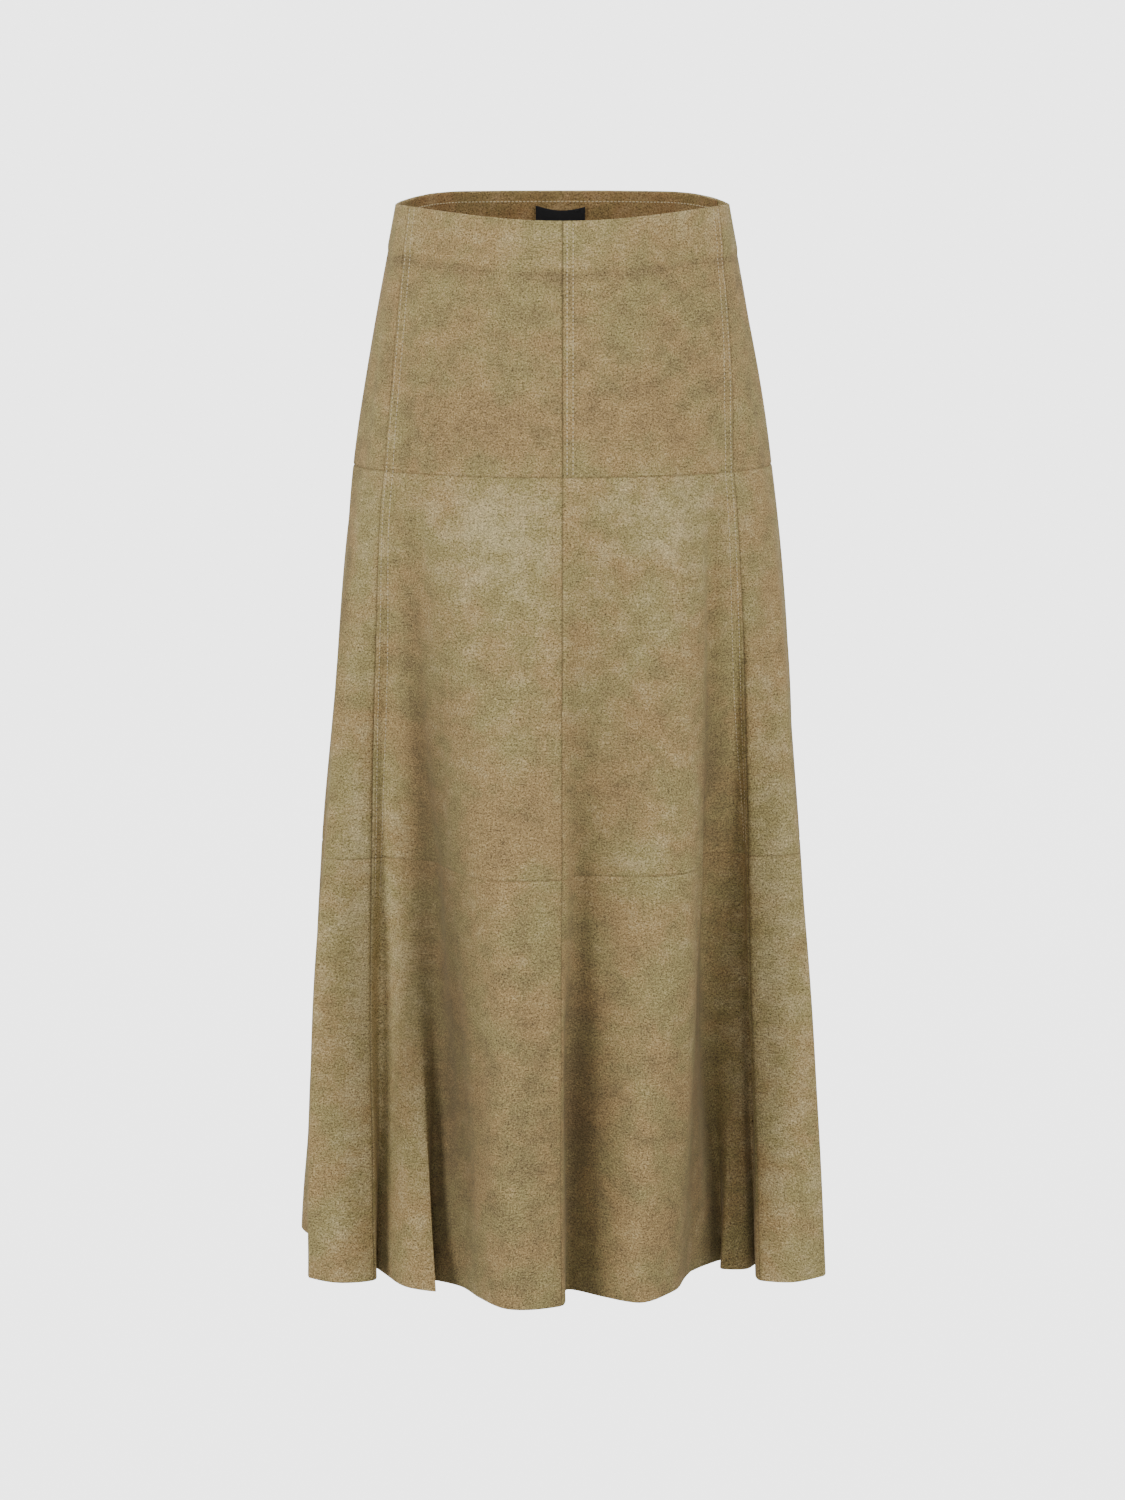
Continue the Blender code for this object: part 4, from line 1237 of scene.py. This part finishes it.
class SKIRT_OT_label(Operator):
    """Make the blank label, tacked inside the centre back"""

    bl_idname = "skirt.label"
    bl_label = "Blank Label"

    width: FloatProperty(name="Width", default=0.040, unit="LENGTH")
    depth: FloatProperty(name="Depth", default=0.020, unit="LENGTH")
    drop: FloatProperty(name="Drop", default=0.0115, unit="LENGTH")
    sag: FloatProperty(name="Sag", default=0.0035, unit="LENGTH")
    fold: FloatProperty(name="End Fold", default=0.0045, unit="LENGTH")

    def execute(self, context):
        back = fold_at("centre_back_seam")
        shares = np.linspace(0, 1, 15)[:, None]
        centre = girth(float(back), 0.0)

        def heights_of(position):
            side = (girth(position, 0.0) - centre) / (self.width / 2)
            sagging = self.sag * np.clip(1 - side * side, 0, 1)
            return rim(position) - self.drop - sagging - self.depth * shares

        half = self.width / 2
        patch = strip(back, -half, half, heights_of, 0.0010, back - 4, back + 4)
        side = (patch.way - patch.way.mean(axis=1, keepdims=True)) / half
        down = np.broadcast_to(shares, side.shape)
        lift = relief(patch.position, patch.height)
        hang = lift - 0.0025 - 0.0011 * (1 - side * side) * (0.4 + 0.6 * down)
        doubled = 0.00035 * (np.abs(side) * half > half - self.fold)
        mesh = cloth_mesh("label", patch, hang, hang - 0.00045 - doubled, (0.0002, 0.0003))
        piece = add_piece(
            "label_tape",
            mesh,
            [material("woven_label_tape")] * 2,
            stands_for=["label"],
        )
        declare_sheet(patch)
        places = []
        for end in (-1, 1):
            for stitch in range(3):
                way = end * (half - 0.0012 - 0.0011 * stitch)
                target = patch.way.mean() + way
                position = np.interp(target, patch.way[0], patch.position[0])
                height = float(heights_of(np.array([position]))[0, 0]) - 0.0006
                out = outward(np.array([position]), np.array([height]))[0]
                lifted = relief(np.array([position]), np.array([height]))[0] - 0.0037
                point = surface(np.array([position]), np.array([height]))[0] + out * lifted
                places.append((point, np.array([0.0, 0.0, 1.0]), -out))
        stitch = modelled_stitch(0.0024, 0.00028)
        mesh = copied_along(stitch, places, "label_tacks")
        add_piece("label_tacks", mesh, [material("black_thread")])
        return {"FINISHED"}


def modelled_stitch(length, radius):
    """One stitch of thread along X, rounded over and dipping at both ends."""
    bpy.ops.object.select_all(action="DESELECT")
    bpy.ops.mesh.primitive_circle_add(
        vertices=6,
        radius=radius * 0.45,
        fill_type="NGON",
        location=(-length / 2, 0.0, -radius * 0.9),
        rotation=(0.0, math.pi / 2, 0.0),
    )
    piece = bpy.context.object
    bpy.ops.object.transform_apply(location=True, rotation=True, scale=True)
    bpy.ops.object.mode_set(mode="EDIT")
    bpy.ops.mesh.select_all(action="SELECT")
    for step, rise, swell in (
        # share of the length, rise and how much the section grows
        (0.16, 0.85, 2.1),
        (0.34, 0.25, 1.05),
        (0.34, -0.25, 0.95),
        (0.16, -0.85, 0.48),
    ):
        bpy.ops.mesh.extrude_region_move(
            TRANSFORM_OT_translate={"value": (length * step, 0.0, radius * rise)}
        )
        bpy.ops.transform.resize(value=(1.0, swell, swell))
    bpy.ops.mesh.select_all(action="SELECT")
    bpy.ops.mesh.normals_make_consistent(inside=False)
    bpy.ops.object.mode_set(mode="OBJECT")
    points = np.array([vertex.co for vertex in piece.data.vertices])
    faces = [list(face.vertices) for face in piece.data.polygons]
    made = piece.data
    bpy.data.objects.remove(piece)
    bpy.data.meshes.remove(made)
    return points, faces


def copied_along(shape, places, name):
    """One joined mesh of copies of a shape, each turned to (point, along, out)."""
    points, faces = shape
    placed, joined = [], []
    for number, (point, along, out) in enumerate(places):
        along = along / np.linalg.norm(along)
        out = out - along * float(out @ along)
        out = out / np.linalg.norm(out)
        turn = np.stack([along, np.cross(out, along), out])
        placed.append(points @ turn + point)
        start = number * len(points)
        joined += [[corner + start for corner in face] for face in faces]
    mesh = bpy.data.meshes.new(name)
    mesh.from_pydata(np.concatenate(placed).tolist(), [], joined)
    mesh.shade_smooth()
    mesh.set_sharp_from_angle(angle=math.radians(50))
    return mesh


def stitch_places(seam, way, top, lowest, pitch, lifted, top_of=rim):
    """Places of the stitches of one row that keeps its distance from a seam."""
    position = fold_at(seam)
    count = int((float(top_of(position)) - top - lowest) / pitch)
    heights = float(top_of(position)) - top - (np.arange(count) + 0.5) * pitch
    targets = (girth(float(position), heights) + way)[:, None]

    def heights_of(_):
        return heights[:, None]

    found = positions_at(targets, heights_of, position - 5, position + 5)[:, 0]
    out = outward(found, heights)
    lift = relief(found, heights) + stitch_relief(found, heights) + lifted
    lift += ledge_relief(found, heights)
    points = surface(found, heights) + out * lift[:, None]
    along = np.gradient(points, axis=0)
    return [(points[k], along[k], out[k]) for k in range(count)]


class SKIRT_OT_topstitching(Operator):
    """Sew the rows of topstitching down the seams, and the understitching of the facing"""

    bl_idname = "skirt.topstitching"
    bl_label = "Topstitching"

    def execute(self, context):
        cloth, sizes = context.scene.skirt_cloth, context.scene.skirt_stitching
        stitch = modelled_stitch(sizes.length, sizes.thread)
        proud = cloth.thickness / 2 + sizes.thread * 0.35
        for seam, side, rows, lowest in TOPSTITCHING:
            places = []
            for row in rows:
                places += stitch_places(seam, side * row, 0.0012, lowest, sizes.pitch, proud)
            mesh = copied_along(stitch, places, f"{seam}_topstitching")
            add_piece(
                f"{seam}_topstitching", mesh, [material("spun_topstitch_thread")]
            )
        self.understitch(stitch, sizes.pitch)
        return {"FINISHED"}

    def understitch(self, stitch, pitch):
        """The row that holds the facings to their seam allowance, 8 mm below the edge."""
        ends = [fold_at("left_side_seam"), fold_at("left_side_seam") + COUNT]
        ruler = np.linspace(*ends, COUNT * GIRTH_STEPS + 1)
        marks = girth(ruler, rim(ruler) - 0.008)
        count = int((marks[-1] - marks[0] - 0.026) / pitch)
        ways = marks[0] + 0.013 + (np.arange(count) + 0.5) * pitch
        position = np.interp(ways, marks, ruler)
        height = rim(position) - 0.008
        out = outward(position, height)
        lift = relief(position, height) - 0.00165
        points = surface(position, height) + out * lift[:, None]
        along = np.gradient(points, axis=0)
        places = [(points[k], along[k], -out[k]) for k in range(count)]
        mesh = copied_along(stitch, places, "facing_understitching")
        add_piece(
            "facing_understitching", mesh, [material("spun_topstitch_thread")]
        )


class SKIRT_OT_zip(Operator):
    """Make the concealed zip's tape and coil, and finish its slider and pull"""

    bl_idname = "skirt.zip"
    bl_label = "Concealed Zip"

    pitch: FloatProperty(name="Coil Pitch", default=0.0014, unit="LENGTH")
    half_width: FloatProperty(name="Half Tape", default=0.012, unit="LENGTH")

    def execute(self, context):
        seam = fold_at("left_side_seam")
        low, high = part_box("zip_tape")
        top_drop, length = float(rim(seam)) - high.z, high.z - low.z
        heights_of = strip_rows(top_drop, top_drop + length, 52)
        patch = strip(
            seam, -self.half_width, self.half_width, heights_of, 0.0010, seam - 4, seam + 4
        )
        lift = relief(patch.position, patch.height)
        side = np.abs(patch.way - patch.way.mean(axis=1, keepdims=True))
        edge = 0.00015 * fade(self.half_width - side, 0.0015)
        inner = lift - 0.0016 - edge
        mesh = cloth_mesh("zip_tape", patch, lift - 0.0011, inner, (0.0002, 0.0002))
        piece = add_piece(
            "zip_woven_tape",
            mesh,
            [material("woven_zip_tape")] * 2,
            stands_for=["zip_tape"],
        )
        declare_sheet(patch)
        slider_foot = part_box("zip_slider")[0].z
        heights = np.arange(slider_foot - 0.001, low.z + 0.004, -self.pitch)
        out = outward(np.full_like(heights, seam), heights)
        spots = surface(float(seam), heights)
        lift = relief(float(seam), heights) - 0.0020
        points = spots + out * lift[:, None]
        down = np.gradient(points, axis=0)
        across = np.cross(out, down)
        places = [(points[k], across[k], -out[k]) for k in range(len(heights))]
        coil = copied_along(modelled_stitch(0.0042, 0.00050), places, "zip_coil")
        add_piece("zip_coil", coil, [material("woven_zip_tape")])
        for name in ("zip_slider", "zip_pull"):
            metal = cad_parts[name]
            for spot in metal.material_slots:
                spot.material = material("lacquered_zinc")
        return {"FINISHED"}


class SKIRT_OT_stage(Operator):
    """Set up the pale studio: floor and backdrop, soft lamps and the camera"""

    bl_idname = "skirt.stage"
    bl_label = "Studio"

    def execute(self, context):
        sizes = context.scene.skirt_stage
        self.make_backdrop(sizes)
        self.make_lights(sizes)
        self.make_camera(sizes)
        return {"FINISHED"}

    def make_backdrop(self, sizes):
        """A round floor whose edge sweeps up, the same from every side."""
        bpy.ops.object.select_all(action="DESELECT")
        bpy.ops.mesh.primitive_circle_add(
            vertices=96, radius=6.0, fill_type="NGON", location=(0, 0, -sizes.floor_drop)
        )
        sweep = bpy.context.object
        sweep.name = "floor_and_backdrop"
        bpy.ops.object.transform_apply(location=True, rotation=True, scale=True)
        bpy.ops.object.mode_set(mode="EDIT")
        bpy.ops.mesh.select_all(action="SELECT")
        bpy.ops.mesh.region_to_loop()
        radius = 6.0
        for grow, rise in ((0.8, 0.1), (0.6, 0.35), (0.4, 0.6), (0.15, 0.9), (0.05, 3.0)):
            bpy.ops.mesh.extrude_edges_move(TRANSFORM_OT_translate={"value": (0, 0, rise)})
            share = (radius + grow) / radius
            bpy.ops.transform.resize(value=(share, share, 1.0))
            radius += grow
        bpy.ops.mesh.select_all(action="SELECT")
        bpy.ops.mesh.normals_make_consistent(inside=True)
        bpy.ops.object.mode_set(mode="OBJECT")
        bpy.ops.object.shade_smooth()
        paper, tree, shader = new_material("matt_paper_roll", 1.0, Specular_IOR_Level=0.0)
        grey = (*linear("E7E7E7"), 1.0)
        shader.inputs["Base Color"].default_value = (0.05, 0.05, 0.05, 1.0)
        shader.inputs["Emission Color"].default_value = grey
        shader.inputs["Emission Strength"].default_value = sizes.backdrop
        sweep.data.materials.append(paper)
        for ray in ("diffuse", "glossy", "shadow"):
            setattr(sweep, f"visible_{ray}", False)

    def make_lights(self, sizes):
        """A tall soft box at each side, weak lamps in front and above, and soft air."""
        for name, place, turn, share, wide, tall in (
            # name, place, turn in degrees, share of the key, width, height
            ("left_soft_box", (-2.5, -1.6, 0.35), (75.0, 0.0, -57.0), 0.92, 1.3, 1.8),
            ("right_soft_box", (2.5, -1.6, 0.35), (75.0, 0.0, 57.0), 0.84, 1.3, 1.8),
            ("front_lamp", (-0.4, -3.4, 1.4), (62.0, 0.0, -7.0), 0.45, 1.6, 1.2),
            ("top_lamp", (0.0, 1.6, 2.2), (-28.0, 0.0, 0.0), 0.45, 2.4, 1.4),
            ("back_lamp", (0.3, 3.6, 0.6), (76.0, 0.0, 175.0), 0.95, 2.2, 2.0),
        ):
            bpy.ops.object.light_add(
                type="AREA", location=place, rotation=[math.radians(angle) for angle in turn]
            )
            lamp = bpy.context.object
            lamp.name = name
            lamp.data.shape = "RECTANGLE"
            lamp.data.energy = share * sizes.key
            lamp.data.size = wide
            lamp.data.size_y = tall
            lamp.visible_camera = False
        world = bpy.data.worlds.new("studio_air")
        bpy.context.scene.world = world
        world.use_nodes = True
        air = world.node_tree.nodes["Background"]
        air.inputs["Color"].default_value = (*linear("EDEDED"), 1.0)
        air.inputs["Strength"].default_value = sizes.air

    def make_camera(self, sizes):
        """The camera, level with the waist and looking down at the middle of the skirt."""
        middle = (HEM - FRONT_DIP) / 2 - 0.010
        data = bpy.data.cameras.new("camera")
        data.lens = 90.0
        data.sensor_width = 36.0
        camera = bpy.data.objects.new("camera", data)
        bpy.context.scene.collection.objects.link(camera)
        away, up = math.cos(sizes.elevation), math.sin(sizes.elevation)
        camera.location = (0.0, -sizes.distance * away, middle + sizes.distance * up)
        camera.rotation_euler = (math.pi / 2 - sizes.elevation, 0.0, 0.0)
        bpy.context.scene.camera = camera


class SKIRT_PT_sidebar(Panel):
    """Lists the steps that make the skirt, and the sizes that they use"""

    bl_idname = "SKIRT_PT_sidebar"
    bl_label = "Suede Skirt"
    bl_space_type = "VIEW_3D"
    bl_region_type = "UI"
    bl_category = "Skirt"

    def draw(self, context):
        layout = self.layout
        for step in STEPS:
            layout.operator(step.bl_idname)
        for settings in SETTINGS:
            box = layout.box()
            values = getattr(context.scene, settings)
            for name in values.__annotations__:
                box.prop(values, name)


STEPS = (
    SKIRT_OT_panels,
    SKIRT_OT_facings,
    SKIRT_OT_label,
    SKIRT_OT_topstitching,
    SKIRT_OT_zip,
    SKIRT_OT_stage,
)
SETTINGS = {
    "skirt_cloth": SkirtCloth,
    "skirt_stitching": SkirtStitching,
    "skirt_colours": SkirtColours,
    "skirt_stage": SkirtStage,
}


def register():
    for kind in (*SETTINGS.values(), *STEPS, SKIRT_PT_sidebar):
        bpy.utils.register_class(kind)
    for name, kind in SETTINGS.items():
        setattr(bpy.types.Scene, name, PointerProperty(type=kind))


def unregister():
    for name in SETTINGS:
        delattr(bpy.types.Scene, name)
    for kind in (SKIRT_PT_sidebar, *STEPS, *SETTINGS.values()):
        bpy.utils.unregister_class(kind)


def main():
    register()
    bpy.ops.skirt.panels()
    bpy.ops.skirt.facings()
    bpy.ops.skirt.label()
    bpy.ops.skirt.topstitching()
    bpy.ops.skirt.zip()
    bpy.ops.skirt.stage()


if __name__ == "__main__":
    main()
